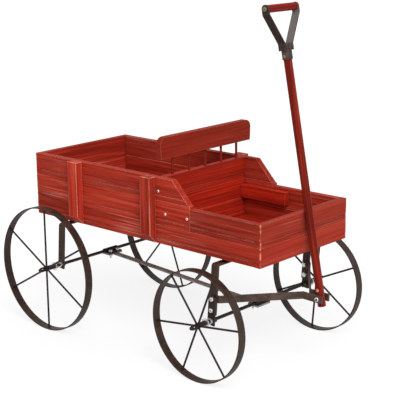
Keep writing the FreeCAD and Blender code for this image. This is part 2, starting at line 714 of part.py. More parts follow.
def reach_beam():
    """A flat bar under the axles with a welded cross plate at each end."""
    fall = "atan((rear_radius - front_radius) / wheelbase)"
    overlap = "clamp_ahead - 1"
    bar = block("beam_bar", f"(wheelbase - 2 * ({overlap})) / cos({fall})", "beam_width", "beam_thick")
    drop = f"({overlap}) * tan({fall})"
    place(bar, f"{REAR_AXLE_X} + {overlap}", "-beam_width / 2",
          f"rear_radius - axle_radius - beam_thick - {drop}")
    tilt(bar, Vector(0, 1, 0), fall)
    pieces = [bar]
    for end, axle_x, radius, ahead in (("rear", REAR_AXLE_X, "rear_radius", 1),
                                       ("front", FRONT_AXLE_X, "front_radius", -1)):
        level = f"{radius} - axle_radius - beam_thick"
        near = "clamp_behind" if ahead == 1 else "clamp_ahead"
        plate = block(f"{end}_beam_plate", "clamp_ahead + clamp_behind", "clamp_length", "beam_thick",
                      f"{axle_x} - {near}", "-clamp_length / 2", level)
        holes = [
            rod(f"{end}_{word}_beam_hole", "clamp_bolt_radius + fixed_fit", "beam_thick",
                f"{axle_x} + {ahead} * clamp_bolt_at", f"{side} * clamp_bolt_half", level)
            for word, side in SIDES
        ]
        pieces.append(cut(f"{end}_drilled_beam_plate", plate, *holes))
    node(fuse("beam_welded", *pieces), "reach_beam")


def saddles():
    """A pressed strap that holds each axle down on the beam's cross plate."""
    long = "clamp_length"
    start = "-clamp_length / 2"
    outer = "axle_radius + saddle_thick"
    inner = "axle_radius + fixed_fit"
    for end, axle_x, radius, turn in (("rear", REAR_AXLE_X, "rear_radius", 0),
                                      ("front", FRONT_AXLE_X, "front_radius", 180)):
        name = f"{end}_saddle"
        tab = block(f"{name}_tab", "clamp_ahead - 1 + clamp_behind", long, "saddle_thick",
                    "-clamp_behind", start, "-axle_radius")
        legs = block(f"{name}_legs", f"2 * ({outer})", long, "axle_radius", f"-({outer})", start,
                     "-axle_radius")
        hump = rod(f"{name}_hump", outer, long, y=start, turn=ALONG_Y)
        over = block(f"{name}_over", "2 * clamp_ahead", long, outer, "-clamp_ahead", start, 0)
        crest = shared(f"{name}_crest", hump, over)
        slot = block(f"{name}_slot", f"2 * ({inner})", long, "axle_radius", f"-({inner})", start,
                     "-axle_radius")
        bore = rod(f"{name}_bore", inner, long, y=start, turn=ALONG_Y)
        holes = [
            rod(f"{name}_{word}_hole", "clamp_bolt_radius + fixed_fit", "2 * saddle_thick",
                "clamp_bolt_at", f"{side} * clamp_bolt_half", "-axle_radius - saddle_thick / 2")
            for word, side in SIDES
        ]
        item = cut(f"{name}_drilled", fuse(f"{name}_blank", tab, legs, crest), slot, bore, *holes)
        turned = FreeCAD.Rotation(Vector(0, 0, 1), turn)
        node(place(item, axle_x, 0, radius, turned), name)


def clamp_bolts():
    """Bolts down through saddle and cross plate, with their nuts hanging below."""
    bolts = []
    for end, axle_x, radius, ahead in (("rear", REAR_AXLE_X, "rear_radius", 1),
                                       ("front", FRONT_AXLE_X, "front_radius", -1)):
        for word, side in SIDES:
            name = f"{end}_{word}_clamp_bolt"
            x = f"{axle_x} + {ahead} * clamp_bolt_at"
            y = f"{side} * clamp_bolt_half"
            grip = "saddle_thick + beam_thick"
            shank = rod(f"{name}_shank", "clamp_bolt_radius", f"{grip} + clamp_nut_high + clamp_bolt_end")
            head = doc.addObject("Part::Prism", f"{name}_head")
            head.Polygon = 6
            bind(head, Circumradius="clamp_nut_radius", Height="clamp_nut_high")
            place(head, z="-clamp_nut_high")
            bolt = fuse(name, shank, head)
            top = f"{radius} - axle_radius + saddle_thick"
            bolts.append(place(bolt, x, y, top, UPSIDE_DOWN))
            item = nut(f"{name}_nut", "clamp_nut_radius", "clamp_nut_high",
                       "clamp_bolt_radius + fixed_fit")
            bolts.append(place(item, x, y, f"{top} - ({grip})", UPSIDE_DOWN))
    node(group("clamp_bolt_group", bolts), "clamp_bolts")


# Drawbar


def drawbar_arms():
    """Two mirrored flat arms, bent twice in plan, from the front straps in to the handle."""
    rear_face = f"({STRAP_OUT} - strap_thick - arm_thick)"
    front_face = "(pole_radius + arm_gap)"
    rear_bend = f"({ARM_SPAN} - arm_rear_run)"
    bend = f"atan(({rear_face} - {front_face}) / ({rear_bend} - arm_front_run))"
    mitre = f"arm_thick * tan({bend} / 2)"
    round_end = "arm_height / 2"
    for word, side in SIDES:
        name = f"{word}_drawbar_arm"
        body = new_body(f"{name}_bent")
        rear_end = f"-({ARM_SPAN} + {round_end})"
        path = (
            (rear_end, rear_face), (f"-{rear_bend}", rear_face), ("-arm_front_run", front_face),
            ("arm_end", front_face), ("arm_end", f"{front_face} + arm_thick"),
            (f"-arm_front_run + {mitre}", f"{front_face} + arm_thick"),
            (f"-{rear_bend} + {mitre}", f"{rear_face} + arm_thick"),
            (rear_end, f"{rear_face} + arm_thick"),
        )
        plan = [(x, f"{side} * ({y})") for x, y in path]
        pad(body, outline(body, f"{name}_plan", "XY_Plane", plan), "arm_height", symmetric=True)

        wide = STRAP_OUT
        start = 0 if side == LEFT else f"-{STRAP_OUT}"
        middle = block(f"{name}_middle", f"{ARM_SPAN} + arm_end", wide, "arm_height",
                       f"-{ARM_SPAN}", start, f"-{round_end}")
        rear = rod(f"{name}_rear_round", round_end, wide, f"-{ARM_SPAN}", start, 0, ALONG_Y)
        blank = shared(f"{name}_blank", body, fuse(f"{name}_side_view", middle, rear))
        pivot_hole = rod(f"{name}_pivot_hole", "bolt_radius + fixed_fit", wide, 0, start, 0, ALONG_Y)
        bolt_hole = rod(f"{name}_bolt_hole", "bolt_radius + fixed_fit", wide, f"-{ARM_SPAN}", start, 0,
                        ALONG_Y)
        item = cut(f"{name}_drilled", blank, pivot_hole, bolt_hole)
        place(item, PIVOT_X, 0, "pivot_height")
        node(tilt(item, Vector(0, 1, 0), ARM_DROP), name)


def pivot_bolt():
    """The bolt that the handle swings on, its head on the cart's right."""
    half = "(pole_radius + arm_gap + arm_thick)"
    bolt = plate_bolt("pivot_bolt_shank_and_head", f"2 * {half} + bolt_nut_high + bolt_end")
    place(bolt, PIVOT_X, f"-{half}", "pivot_height", ALONG_Y)
    item = place(plate_nut("pivot_nut"), PIVOT_X, half, "pivot_height", ALONG_Y)
    node(group("pivot_bolt_group", [bolt, item]), "pivot_bolt")


# Handle, modelled upright on the pivot and then leaned back


def lean_back(item, label):
    place(item, PIVOT_X, 0, "pivot_height")
    return node(tilt(item, Vector(0, -1, 0), LEAN), label)


def pole_and_socket():
    pole = new_body("pole_turned")
    top = "socket_top - pole_short"
    shape = ((0, "-pole_foot"), ("pole_radius - pole_chamfer", "-pole_foot"),
             ("pole_radius", "-pole_foot + pole_chamfer"), ("pole_radius", top), (0, top))
    revolve(pole, outline(pole, "pole_profile", "XZ_Plane", shape), "Z_Axis")
    pivot_hole = rod("pole_pivot_hole", "bolt_radius + running_fit", "2 * pole_radius",
                     y="-pole_radius", turn=ALONG_Y)
    lean_back(cut("pole_drilled", pole, pivot_hole), "handle_pole")

    tube = new_body("socket_tube")
    inner = "pole_radius + fixed_fit"
    wall = ((inner, SOCKET_FOOT), (SOCKET_RADIUS, SOCKET_FOOT), (SOCKET_RADIUS, "socket_top"),
            (inner, "socket_top"))
    revolve(tube, outline(tube, "socket_profile", "XZ_Plane", wall), "Z_Axis")
    lean_back(tube, "grip_socket")


def grip():
    """Two bent straps from the socket out to the round grip, and the bolt through all three."""
    tab_foot = "(socket_top - yoke_tab)"
    spread = f"atan((grip_half - {SOCKET_RADIUS}) / yoke_rise)"
    mitre = f"yoke_thick * tan({spread} / 2)"
    crown = f"({GRIP_AT} + yoke_width / 2)"
    through = "2 * (grip_half + yoke_thick)"
    start = "-(grip_half + yoke_thick)"
    for word, side in SIDES:
        name = f"{word}_grip_strap"
        body = new_body(f"{name}_bent")
        path = (
            (SOCKET_RADIUS, tab_foot), (SOCKET_RADIUS, "socket_top"), ("grip_half", YOKE_BEND),
            ("grip_half", crown), ("grip_half + yoke_thick", crown),
            ("grip_half + yoke_thick", f"{YOKE_BEND} - {mitre}"),
            (f"{SOCKET_RADIUS} + yoke_thick", f"socket_top - {mitre}"),
            (f"{SOCKET_RADIUS} + yoke_thick", tab_foot),
        )
        profile = [(f"{side} * ({y})", z) for y, z in path]
        pad(body, outline(body, f"{name}_profile", "YZ_Plane", profile), "yoke_width", symmetric=True)
        straight = block(f"{name}_straight", "yoke_width", through, f"{GRIP_AT} - {tab_foot}",
                         "-yoke_width / 2", start, tab_foot)
        crest = rod(f"{name}_crest", "yoke_width / 2", through, 0, start, GRIP_AT, ALONG_Y)
        blank = shared(f"{name}_blank", body, fuse(f"{name}_front_view", straight, crest))
        hole = rod(f"{name}_hole", "bolt_radius + fixed_fit", through, 0, start, GRIP_AT, ALONG_Y)
        lean_back(cut(f"{name}_drilled", blank, hole), name)

    dowel = cut("grip_bored",
                rod("grip_dowel", "grip_radius", "2 * grip_half", 0, "-grip_half", GRIP_AT, ALONG_Y),
                rod("grip_bore", "bolt_radius + fixed_fit", "2 * grip_half", 0, "-grip_half", GRIP_AT,
                    ALONG_Y))
    lean_back(dowel, "grip")

    bolt = plate_bolt("grip_bolt_shank_and_head", f"{through} + bolt_nut_high + bolt_end")
    place(bolt, 0, start, GRIP_AT, ALONG_Y)
    item = place(plate_nut("grip_nut"), 0, "grip_half + yoke_thick", GRIP_AT, ALONG_Y)
    lean_back(group("grip_bolt_group", [bolt, item]), "grip_bolt")


for word, side in SIDES:
    side_boards(word, side)
end_boards()
partition_and_rail()
battens()
floor()
splice_cleats()
wheels()
axles()
hangers()
axle_plates()
plate_bolts()
reach_beam()
saddles()
clamp_bolts()
drawbar_arms()
pivot_bolt()
pole_and_socket()
grip()
doc.recompute()

for item in doc.Objects:
    if any(word in item.State for word in ("Invalid", "Error")):
        raise RuntimeError(f"{item.Label} did not build: {item.State}")
for item in nodes:
    if item.Shape.isNull() or not item.Shape.isValid() or not item.Shape.Solids:
        raise RuntimeError(f"{item.Label} has no valid solid")

os.makedirs("parts", exist_ok=True)
for item in nodes:
    item.Shape.exportStep(f"parts/{item.Label}.step")
print(len(nodes), "sub-parts,", sum(len(item.Shape.Solids) for item in nodes), "solids")
whole = Part.makeCompound([item.Shape for item in nodes]).BoundBox
print("x", round(whole.XMin, 2), round(whole.XMax, 2), "y", round(whole.YMin, 2), round(whole.YMax, 2),
      "z", round(whole.ZMin, 2), round(whole.ZMax, 2), "lean", round(measure(LEAN), 2))
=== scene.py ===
"""The looks of a small four-wheeled garden cart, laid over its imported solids.

Lengths are metres in the cart's own frame: +X to the handle end, +Y to the cart's left, +Z up,
with the origin on the ground under the middle of the cart. Colours are written as they show on
a screen, from 0 to 255.
"""

import enum
import logging
import math
from collections.abc import Callable, Iterator, Sequence
from contextlib import contextmanager
from dataclasses import dataclass, replace

import bmesh
import bpy
from mathutils import Euler, Matrix, Vector


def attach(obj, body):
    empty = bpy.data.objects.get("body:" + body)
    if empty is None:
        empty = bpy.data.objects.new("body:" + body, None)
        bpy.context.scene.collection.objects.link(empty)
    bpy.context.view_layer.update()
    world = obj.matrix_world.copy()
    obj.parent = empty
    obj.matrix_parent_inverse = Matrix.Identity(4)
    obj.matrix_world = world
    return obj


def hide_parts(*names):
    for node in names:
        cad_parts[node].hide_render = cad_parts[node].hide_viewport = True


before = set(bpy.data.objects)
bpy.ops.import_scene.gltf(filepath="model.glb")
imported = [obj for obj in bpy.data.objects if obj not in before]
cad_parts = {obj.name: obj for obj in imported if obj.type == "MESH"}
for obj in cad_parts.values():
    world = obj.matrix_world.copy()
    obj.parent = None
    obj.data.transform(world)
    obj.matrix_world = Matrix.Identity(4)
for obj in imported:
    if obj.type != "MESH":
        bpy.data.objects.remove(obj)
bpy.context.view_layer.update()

LOG = logging.getLogger("flower_cart")
MM = 0.001
ENDS = ("rear", "front")
SIDES = (("left", 1), ("right", -1))
CORNERS = tuple((end, word, side) for end in ENDS for word, side in SIDES)
BOARD_TONES = (0.04, 0.05, -0.06, 0.02, 0.07)

Colour = tuple[int, int, int]
Sockets = bpy.types.bpy_prop_collection
Test = Callable[[object], bool]


def linear(colour: Colour) -> tuple[float, float, float, float]:
    """Turns a screen colour into the linear one that a shader takes.

    Args:
        colour: red, green and blue from 0 to 255.

    Returns:
        Linear red, green, blue and an alpha of 1.
    """
    levels = [level / 255 for level in colour]
    red, green, blue = (
        level / 12.92 if level <= 0.04045 else ((level + 0.055) / 1.055) ** 2.4 for level in levels
    )
    return red, green, blue, 1.0


def shade(colour: Colour, factor: float) -> Colour:
    """Makes a screen colour lighter by a factor above 1, or darker by one below."""
    red, green, blue = (min(255, round(level * factor)) for level in colour)
    return red, green, blue


# Sizes


@dataclass(frozen=True)
class CartSizes:
    """Places on the cart that its pieces share, in metres."""

    tail_x: float = -273.3 * MM
    box_length: float = 547 * MM
    box_half: float = 117 * MM
    board_thick: float = 11 * MM
    box_bottom: float = 203 * MM
    cleat_thick: float = 6.4 * MM
    rear_setback: float = 72 * MM
    wheelbase: float = 380 * MM
    rear_radius: float = 117 * MM
    front_radius: float = 96.5 * MM
    axle_radius: float = 3 * MM
    strap_out: float = 128 * MM
    strap_thick: float = 3 * MM
    strap_lean: float = math.radians(4.5)
    pivot_ahead: float = 34.6 * MM
    pivot_height: float = 132 * MM
    handle_lean: float = math.radians(10.72)

    @property
    def pivot(self) -> Vector:
        """The middle of the handle's pivot bolt."""
        return Vector((self.tail_x + self.box_length + self.pivot_ahead, 0, self.pivot_height))

    def axle(self, end: str) -> Vector:
        """Finds the middle of an axle.

        Args:
            end: rear or front.

        Returns:
            The place halfway between its wheels.
        """
        if end == "rear":
            return Vector((self.tail_x + self.rear_setback, 0, self.rear_radius))
        return Vector((self.tail_x + self.rear_setback + self.wheelbase, 0, self.front_radius))

    def on_strap(self, end: str, height: float) -> float:
        """Where along X the middle line of a hanger strap is at a height above the ground."""
        axle = self.axle(end)
        return axle.x + (height - axle.z) * math.tan(self.strap_lean)

    def on_pole(self, along: float) -> Vector:
        """The middle of the leaning handle at a distance above its pivot."""
        lean = self.handle_lean
        return self.pivot + Vector((-math.sin(lean), 0, math.cos(lean))) * along


SIZES = CartSizes()


class Grain(enum.Enum):
    """Which way the fibres of a piece of wood run."""

    LENGTHWISE = "lengthwise"
    CROSSWISE = "crosswise"
    UPRIGHT = "upright"
    ALONG_HANDLE = "along_handle"

    @property
    def turn(self) -> Euler:
        """Turns a pattern to these fibres.

        Returns:
            The rotation that brings the fibres of this piece onto X.
        """
        quarter = math.pi / 2
        return {
            Grain.LENGTHWISE: Euler((0, 0, 0)),
            Grain.CROSSWISE: Euler((0, 0, -quarter)),
            Grain.UPRIGHT: Euler((0, quarter, 0)),
            Grain.ALONG_HANDLE: Euler((0, quarter + SIZES.handle_lean, 0)),
        }[self]


# Shader nodes


@dataclass(frozen=True)
class Nodes:
    """A node tree, with short ways to add and join its nodes."""

    tree: bpy.types.NodeTree

    def feed(self, socket: bpy.types.NodeSocket, value: object) -> None:
        """Gives an input what it needs.

        Args:
            socket: the input.
            value: a socket to link it to, or a value to set it to.
        """
        if isinstance(value, bpy.types.NodeSocket):
            self.tree.links.new(value, socket)
        else:
            socket.default_value = value

    def add(self, kind: str, feeds: dict | None = None, **settings: object) -> bpy.types.Node:
        """Adds a node.

        Args:
            kind: its type in Blender.
            feeds: what goes into its inputs, by name or by number.
            **settings: its own properties.

        Returns:
            The new node.
        """
        node = self.tree.nodes.new(kind)
        for name, value in settings.items():
            setattr(node, name, value)
        for name, value in (feeds or {}).items():
            self.feed(node.inputs[name], value)
        return node

    def mapped(self, vector: object, scale: Sequence[float] = (1, 1, 1), turn: Sequence[float] = (0, 0, 0),
               shift: Sequence[float] = (0, 0, 0)) -> bpy.types.NodeSocket:
        """Coordinates scaled, then turned, then shifted."""
        feeds = {"Vector": vector, "Scale": scale, "Rotation": turn, "Location": shift}
        return self.add("ShaderNodeMapping", feeds).outputs["Vector"]

    def noise(self, vector: object, scale: object, detail: float = 3, rough: float = 0.55,
              twist: float = 0) -> bpy.types.NodeSocket:
        """Noise from 0 to 1."""
        feeds = {"Vector": vector, "Scale": scale, "Detail": detail, "Roughness": rough, "Distortion": twist}
        return self.add("ShaderNodeTexNoise", feeds).outputs["Fac"]

    def spread(self, value: object, low: object, high: object) -> bpy.types.NodeSocket:
        """Stretches a value so that low gives 0 and high gives 1, with nothing beyond."""
        feeds = {"Value": value, "From Min": low, "From Max": high}
        return self.add("ShaderNodeMapRange", feeds, interpolation_type="SMOOTHSTEP").outputs["Result"]

    # A Mix node has a pair of inputs for each kind: 2 and 3 for values, 4 and 5 for vectors,
    # 6 and 7 for colours.

    def between(self, share: object, first: object, second: object) -> bpy.types.NodeSocket:
        """A value between two others."""
        return self.add("ShaderNodeMix", {0: share, 2: first, 3: second}, data_type="FLOAT").outputs[0]

    def part(self, vector: object, axis: str) -> bpy.types.NodeSocket:
        """One coordinate of a vector."""
        return self.add("ShaderNodeSeparateXYZ", {0: vector}).outputs[axis]

    def apart(self, value: object, middle: float) -> bpy.types.NodeSocket:
        """How far a value is from a middle one, either way."""
        offset = self.add("ShaderNodeMath", {0: value, 1: middle}, operation="SUBTRACT").outputs["Value"]
        return self.sum("ABSOLUTE", offset)

    def sum(self, operation: str, first: object, second: object = 0.0) -> bpy.types.NodeSocket:
        """The result of a sum on two values, held from 0 to 1."""
        node = self.add("ShaderNodeMath", {0: first, 1: second}, operation=operation, use_clamp=True)
        return node.outputs["Value"]

    def blend(self, share: object, first: object, second: object) -> bpy.types.NodeSocket:
        """A colour between two others."""
        return self.add("ShaderNodeMix", {0: share, 6: first, 7: second}, data_type="RGBA").outputs[2]

    def place(self, group: bpy.types.NodeTree, feeds: dict) -> Sockets:
        """Places a group with its own values, and gives its outputs."""
        return self.add("ShaderNodeGroup", feeds, node_tree=group).outputs


@dataclass
class Effects:
    """The shader groups that the finishes share."""

    grain: bpy.types.NodeTree | None = None
    wear: bpy.types.NodeTree | None = None
    mottle: bpy.types.NodeTree | None = None
    painted_shade: bpy.types.NodeTree | None = None

    def build(self) -> None:
        """Makes the four groups."""
        self.grain = self.build_grain()
        self.wear = self.build_wear()
        self.mottle = self.build_mottle()
        self.painted_shade = self.build_painted_shade()

    @staticmethod
    def group(name: str, inputs: dict[str, float], outputs: Sequence[str]) -> tuple[Nodes, Sockets, Sockets]:
        """Starts a group that reads a Vector.

        Args:
            name: what the group is called.
            inputs: its value inputs, with what they start at.
            outputs: what it puts out; all but a Normal are values.

        Returns:
            The group's nodes, the sockets of what it is given, and the sockets of what it puts out.
        """
        tree = bpy.data.node_groups.new(name, "ShaderNodeTree")
        tree.interface.new_socket(name="Vector", in_out="INPUT", socket_type="NodeSocketVector")
        for label, start in inputs.items():
            socket = tree.interface.new_socket(name=label, in_out="INPUT", socket_type="NodeSocketFloat")
            socket.default_value = start
        for label in outputs:
            kind = "NodeSocketVector" if label == "Normal" else "NodeSocketFloat"
            tree.interface.new_socket(name=label, in_out="OUTPUT", socket_type=kind)
        given, put = (tree.nodes.new(f"NodeGroup{way}") for way in ("Input", "Output"))
        return Nodes(tree), given.outputs, put.inputs

    def build_grain(self) -> bpy.types.NodeTree:
        """Makes wood whose fibres run along X.

        Returns:
            A group with streaks, growth rings, fine fibres, rubbed places and a height.
        """
        nodes, given, put = self.group(
            "wood_grain", {"Streak Scale": 150, "Ring Scale": 16, "Fibre Scale": 700},
            ("Streaks", "Rings", "Fibres", "Rubbed", "Height"),
        )

        def drawn(along: float) -> bpy.types.NodeSocket:
            """Coordinates on which a pattern is drawn out along the fibres."""
            return nodes.mapped(given["Vector"], (along, 1, 1))

        broad = nodes.noise(drawn(0.1), 30, detail=2, rough=0.5, twist=0.3)
        fine = nodes.noise(drawn(0.03), given["Streak Scale"], detail=4, rough=0.66, twist=0.2)
        streaks = nodes.between(0.62, broad, fine)
        fibres = nodes.noise(drawn(0.012), given["Fibre Scale"], detail=2, rough=0.5)
        rings = nodes.add(
            "ShaderNodeTexWave",
            {"Vector": drawn(0.09), "Scale": given["Ring Scale"], "Distortion": 5.5, "Detail": 3,
             "Detail Scale": 1.4, "Detail Roughness": 0.6},
            wave_type="RINGS", rings_direction="X",
        )
        patches = nodes.spread(nodes.noise(drawn(0.3), 15, detail=2), 0.5, 0.72)
        scratches = nodes.spread(nodes.noise(drawn(0.02), 330, rough=0.65), 0.5, 0.7)
        nodes.feed(put["Streaks"], streaks)
        nodes.feed(put["Rings"], rings.outputs["Fac"])
        nodes.feed(put["Fibres"], fibres)
        nodes.feed(put["Rubbed"], nodes.sum("MULTIPLY", patches, scratches))
        nodes.feed(put["Height"], nodes.between(0.5, fibres, streaks))
        return nodes.tree

    def build_wear(self) -> bpy.types.NodeTree:
        """Makes rubbed edges.

        Returns:
            A group that says where an edge is rubbed, with a normal that runs smoothly over the edge.
        """
        nodes, given, put = self.group("worn_edges", {"Reach": 0.0015, "Amount": 1, "Grit": 45},
                                       ("Wear", "Normal"))
        bevel = nodes.add("ShaderNodeBevel", {"Radius": given["Reach"]}, samples=6).outputs["Normal"]
        flat = nodes.add("ShaderNodeNewGeometry").outputs["Normal"]
        dot = nodes.add("ShaderNodeVectorMath", {0: bevel, 1: flat}, operation="DOT_PRODUCT")
        edge = nodes.spread(nodes.sum("SUBTRACT", 1.0, dot.outputs["Value"]), 0.01, 0.13)
        drawn = nodes.mapped(given["Vector"], (0.2, 1, 1))
        patchy = nodes.spread(nodes.noise(drawn, given["Grit"], rough=0.6), 0.32, 0.54)
        nodes.feed(put["Wear"], nodes.sum("MULTIPLY", nodes.sum("MULTIPLY", edge, patchy), given["Amount"]))
        nodes.feed(put["Normal"], bevel)
        return nodes.tree

    def build_mottle(self) -> bpy.types.NodeTree:
        """Makes uneven paint for steel.

        Returns:
            A group with broad patches, fine specks and an orange-peel height.
        """
        nodes, given, put = self.group("paint_mottle", {"Patch Scale": 55, "Speck Scale": 900},
                                       ("Patches", "Specks", "Height"))
        vector = given["Vector"]
        nodes.feed(put["Patches"], nodes.noise(vector, given["Patch Scale"], detail=4, rough=0.6, twist=0.4))
        nodes.feed(put["Specks"], nodes.noise(vector, given["Speck Scale"], detail=2, rough=0.6))
        nodes.feed(put["Height"], nodes.noise(vector, 1400, detail=1, rough=0.5))
        return nodes.tree

    def build_painted_shade(self) -> bpy.types.NodeTree:
        """Makes painted shade: darkening in corners and joints, where the cart's own parts keep light out.

        Returns:
            A group that says how much of it there is.
        """
        nodes, given, put = self.group("painted_corner_shade", {"Reach": 0.009, "Amount": 0.5}, ("Painted Shade",))
        # Painted shade: ambient occlusion darkens corners and joints, made uneven by noise.
        corner = nodes.add("ShaderNodeAmbientOcclusion", {"Distance": given["Reach"]}, samples=6)
        dark = nodes.spread(nodes.sum("SUBTRACT", 1.0, corner.outputs["AO"]), 0.1, 0.8)
        uneven = nodes.spread(nodes.noise(given["Vector"], 60), 0.1, 0.6)
        nodes.feed(put["Painted Shade"], nodes.sum("MULTIPLY", nodes.sum("MULTIPLY", dark, given["Amount"]), uneven))
        return nodes.tree


EFFECTS = Effects()


@dataclass(frozen=True)
class Surface:
    """A material in the making."""

    material: bpy.types.Material
    nodes: Nodes
    shader: bpy.types.Node
    coordinates: bpy.types.NodeSocket

    @classmethod
    def start(cls, name: str) -> "Surface":
        """Starts a material with a plain shader.

        Args:
            name: what the material is called.

        Returns:
            The material with its nodes, its shader and the coordinates of its object.
        """
        material = bpy.data.materials.new(name)
        material.use_nodes = True
        nodes = Nodes(material.node_tree)
        coordinates = nodes.add("ShaderNodeTexCoord").outputs["Object"]
        return cls(material, nodes, material.node_tree.nodes["Principled BSDF"], coordinates)

    def set(self, label: str, value: object) -> None:
        """Feeds one of the shader's inputs."""
        self.nodes.feed(self.shader.inputs[label], value)

    def roughen(self, value: object, low: float, high: float) -> None:
        """Lets a value from 0 to 1 move the roughness from low to high."""
        feeds = {"Value": value, "To Min": low, "To Max": high}
        self.set("Roughness", self.nodes.add("ShaderNodeMapRange", feeds).outputs["Result"])

    def emboss(self, height: object, strength: float, depth: float, **more: object) -> None:
        """Raises the surface by a height, over another normal if one is given."""
        feeds = {"Height": height, "Strength": strength, "Distance": depth, **more}
        self.set("Normal", self.nodes.add("ShaderNodeBump", feeds).outputs["Normal"])

    def shaded_in_corners(self, colour: object, painted_shade: Colour, **feeds: float) -> bpy.types.NodeSocket:
        """A colour darkened in its corners and joints by painted shade."""
        share = self.nodes.place(EFFECTS.painted_shade, {"Vector": self.coordinates, **feeds})["Painted Shade"]
        return self.nodes.blend(share, colour, linear(painted_shade))


# Finishes


@dataclass(frozen=True)
class StainedWood:
    """Softwood under a worn red stain."""

    name: str
    face: Colour
    deep: Colour
    bright: Colour
    worn: Colour
    edge_wear: float = 0.85
    face_wear: float = 0.45
    edge_reach: float = 1.1 * MM
    roughness: float = 0.58
    sheen: float = 0.08
    relief: float = 0.4
    streak_scale: float = 150
    boxed: bool = False
    chip: tuple[float, float, float] | None = None

    def material(self, grain: Grain, board: int = 0) -> bpy.types.Material:
        """The finish on one kind of board.

        Args:
            grain: which way its fibres run.
            board: a number that moves the pattern, so that neighbours differ.

        Returns:
            The material, made once for each grain and board number.
        """
        name = f"{self.name}_{grain.value}_{board}"
        if name in bpy.data.materials:
            return bpy.data.materials[name]
        surface = Surface.start(name)
        nodes = surface.nodes
        tone = 1.0 + BOARD_TONES[board % len(BOARD_TONES)]
        shift = (0.37 * board, 0.031 + 0.017 * board, 0.043 + 0.023 * board)
        turned = nodes.mapped(surface.coordinates, turn=grain.turn, shift=shift)
        if self.boxed and grain is Grain.CROSSWISE:
            turned = self.ends_like_sides(surface, turned, shift)
        wood = nodes.place(EFFECTS.grain, {"Vector": turned, "Streak Scale": self.streak_scale})
        worn = nodes.place(EFFECTS.wear, {"Vector": turned, "Reach": self.edge_reach,
                                          "Amount": self.edge_wear})
        wear = self.box_wear(surface, worn["Wear"]) if self.boxed else worn["Wear"]
        if self.chip is not None:
            wear = nodes.sum("MAXIMUM", wear, self.chipped(surface))
        # Painted shade: the stain turns darker in the board's corners and joints.
        stain = surface.shaded_in_corners(self.stain(nodes, wood, tone), shade(self.deep, 0.6))
        surface.set("Base Color", nodes.blend(wear, stain, linear(self.worn)))
        surface.roughen(wood["Height"], self.roughness - 0.1, self.roughness + 0.14)
        surface.emboss(wood["Height"], self.relief, 0.6 * MM, Normal=worn["Normal"])
        surface.set("Specular IOR Level", self.sheen)
        return surface.material

    def stain(self, nodes: Nodes, wood: Sockets, tone: float) -> bpy.types.NodeSocket:
        """The stain's colour over the grain.

        Args:
            nodes: the material's nodes.
            wood: what the grain group puts out.
            tone: above 1 is a lighter board.

        Returns:
            The colour, before any edge is worn.
        """
        deep, face, bright = (linear(shade(colour, tone)) for colour in (self.deep, self.face, self.bright))
        darker, darkest = (linear(shade(self.deep, tone * part)) for part in (0.94, 0.75))
        colour = nodes.blend(nodes.spread(wood["Streaks"], 0.4, 0.57), deep, face)
        for pattern, low, high, most, tint in (
            ("Streaks", 0.55, 0.68, 0.7, bright), ("Rings", 0.5, 0.95, 0.3, darker),
            ("Fibres", 0.52, 0.76, 0.5, bright), ("Fibres", 0.46, 0.3, 0.6, darkest),
        ):
            share = nodes.sum("MULTIPLY", nodes.spread(wood[pattern], low, high), most)
            colour = nodes.blend(share, colour, tint)
        return nodes.blend(nodes.sum("MULTIPLY", wood["Rubbed"], self.face_wear), colour, linear(self.worn))

    @staticmethod
    def ends_like_sides(surface: Surface, across: object, shift: Sequence[float]) -> bpy.types.NodeSocket:
        """Lets the ends of a front or tail board carry the streaks of the sides that they are flush with.

        Args:
            surface: the material.
            across: the coordinates turned to the board's own fibres.
            shift: how far the board's pattern is moved.

        Returns:
            The coordinates for the whole board.
        """
        nodes, half = surface.nodes, SIZES.box_half
        off_middle = nodes.apart(nodes.part(surface.coordinates, "Y"), 0.0)
        at_end = nodes.spread(off_middle, half - 0.6 * MM, half - 0.1 * MM)
        along = nodes.mapped(surface.coordinates, shift=shift)
        return nodes.add("ShaderNodeMix", {0: at_end, 4: across, 5: along}, data_type="VECTOR").outputs[1]

    @staticmethod
    def box_wear(surface: Surface, wear: object) -> bpy.types.NodeSocket:
        """No wear along the flush joints of the box, and more down its four upright corners.

        Args:
            surface: the material.
            wear: the wear along all edges.

        Returns:
            The wear of a box board.
        """
        nodes = surface.nodes
        half, joint = SIZES.box_length / 2, SIZES.box_length / 2 - SIZES.board_thick
        from_middle = nodes.apart(nodes.part(surface.coordinates, "X"), SIZES.tail_x + half)
        off_joint = nodes.spread(nodes.apart(from_middle, joint), 0.7 * MM, 2.2 * MM)
        outer = nodes.apart(nodes.part(surface.coordinates, "Y"), 0.0)
        corner = nodes.sum("MULTIPLY", nodes.spread(from_middle, half - 2.6 * MM, half - 0.8 * MM),
                           nodes.spread(outer, SIZES.box_half - 2.6 * MM, SIZES.box_half - 0.8 * MM))
        uneven = nodes.spread(nodes.noise(surface.coordinates, 90), 0.38, 0.56)
        return nodes.sum("MAXIMUM", nodes.sum("MULTIPLY", wear, off_joint),
                         nodes.sum("MULTIPLY", corner, uneven))

    def chipped(self, surface: Surface) -> bpy.types.NodeSocket:
        """Finds the ragged patch where the stain is chipped off.

        Args:
            surface: the material.

        Returns:
            1 on the patch, and 0 elsewhere.
        """
        nodes = surface.nodes
        away = nodes.add("ShaderNodeVectorMath", {0: surface.coordinates, 1: self.chip},
                         operation="DISTANCE")
        ragged = nodes.sum("MULTIPLY", nodes.noise(surface.coordinates, 900, detail=2), 2.4 * MM)
        return nodes.spread(nodes.sum("ADD", ragged, away.outputs["Value"]), 4.4 * MM, 3.2 * MM)


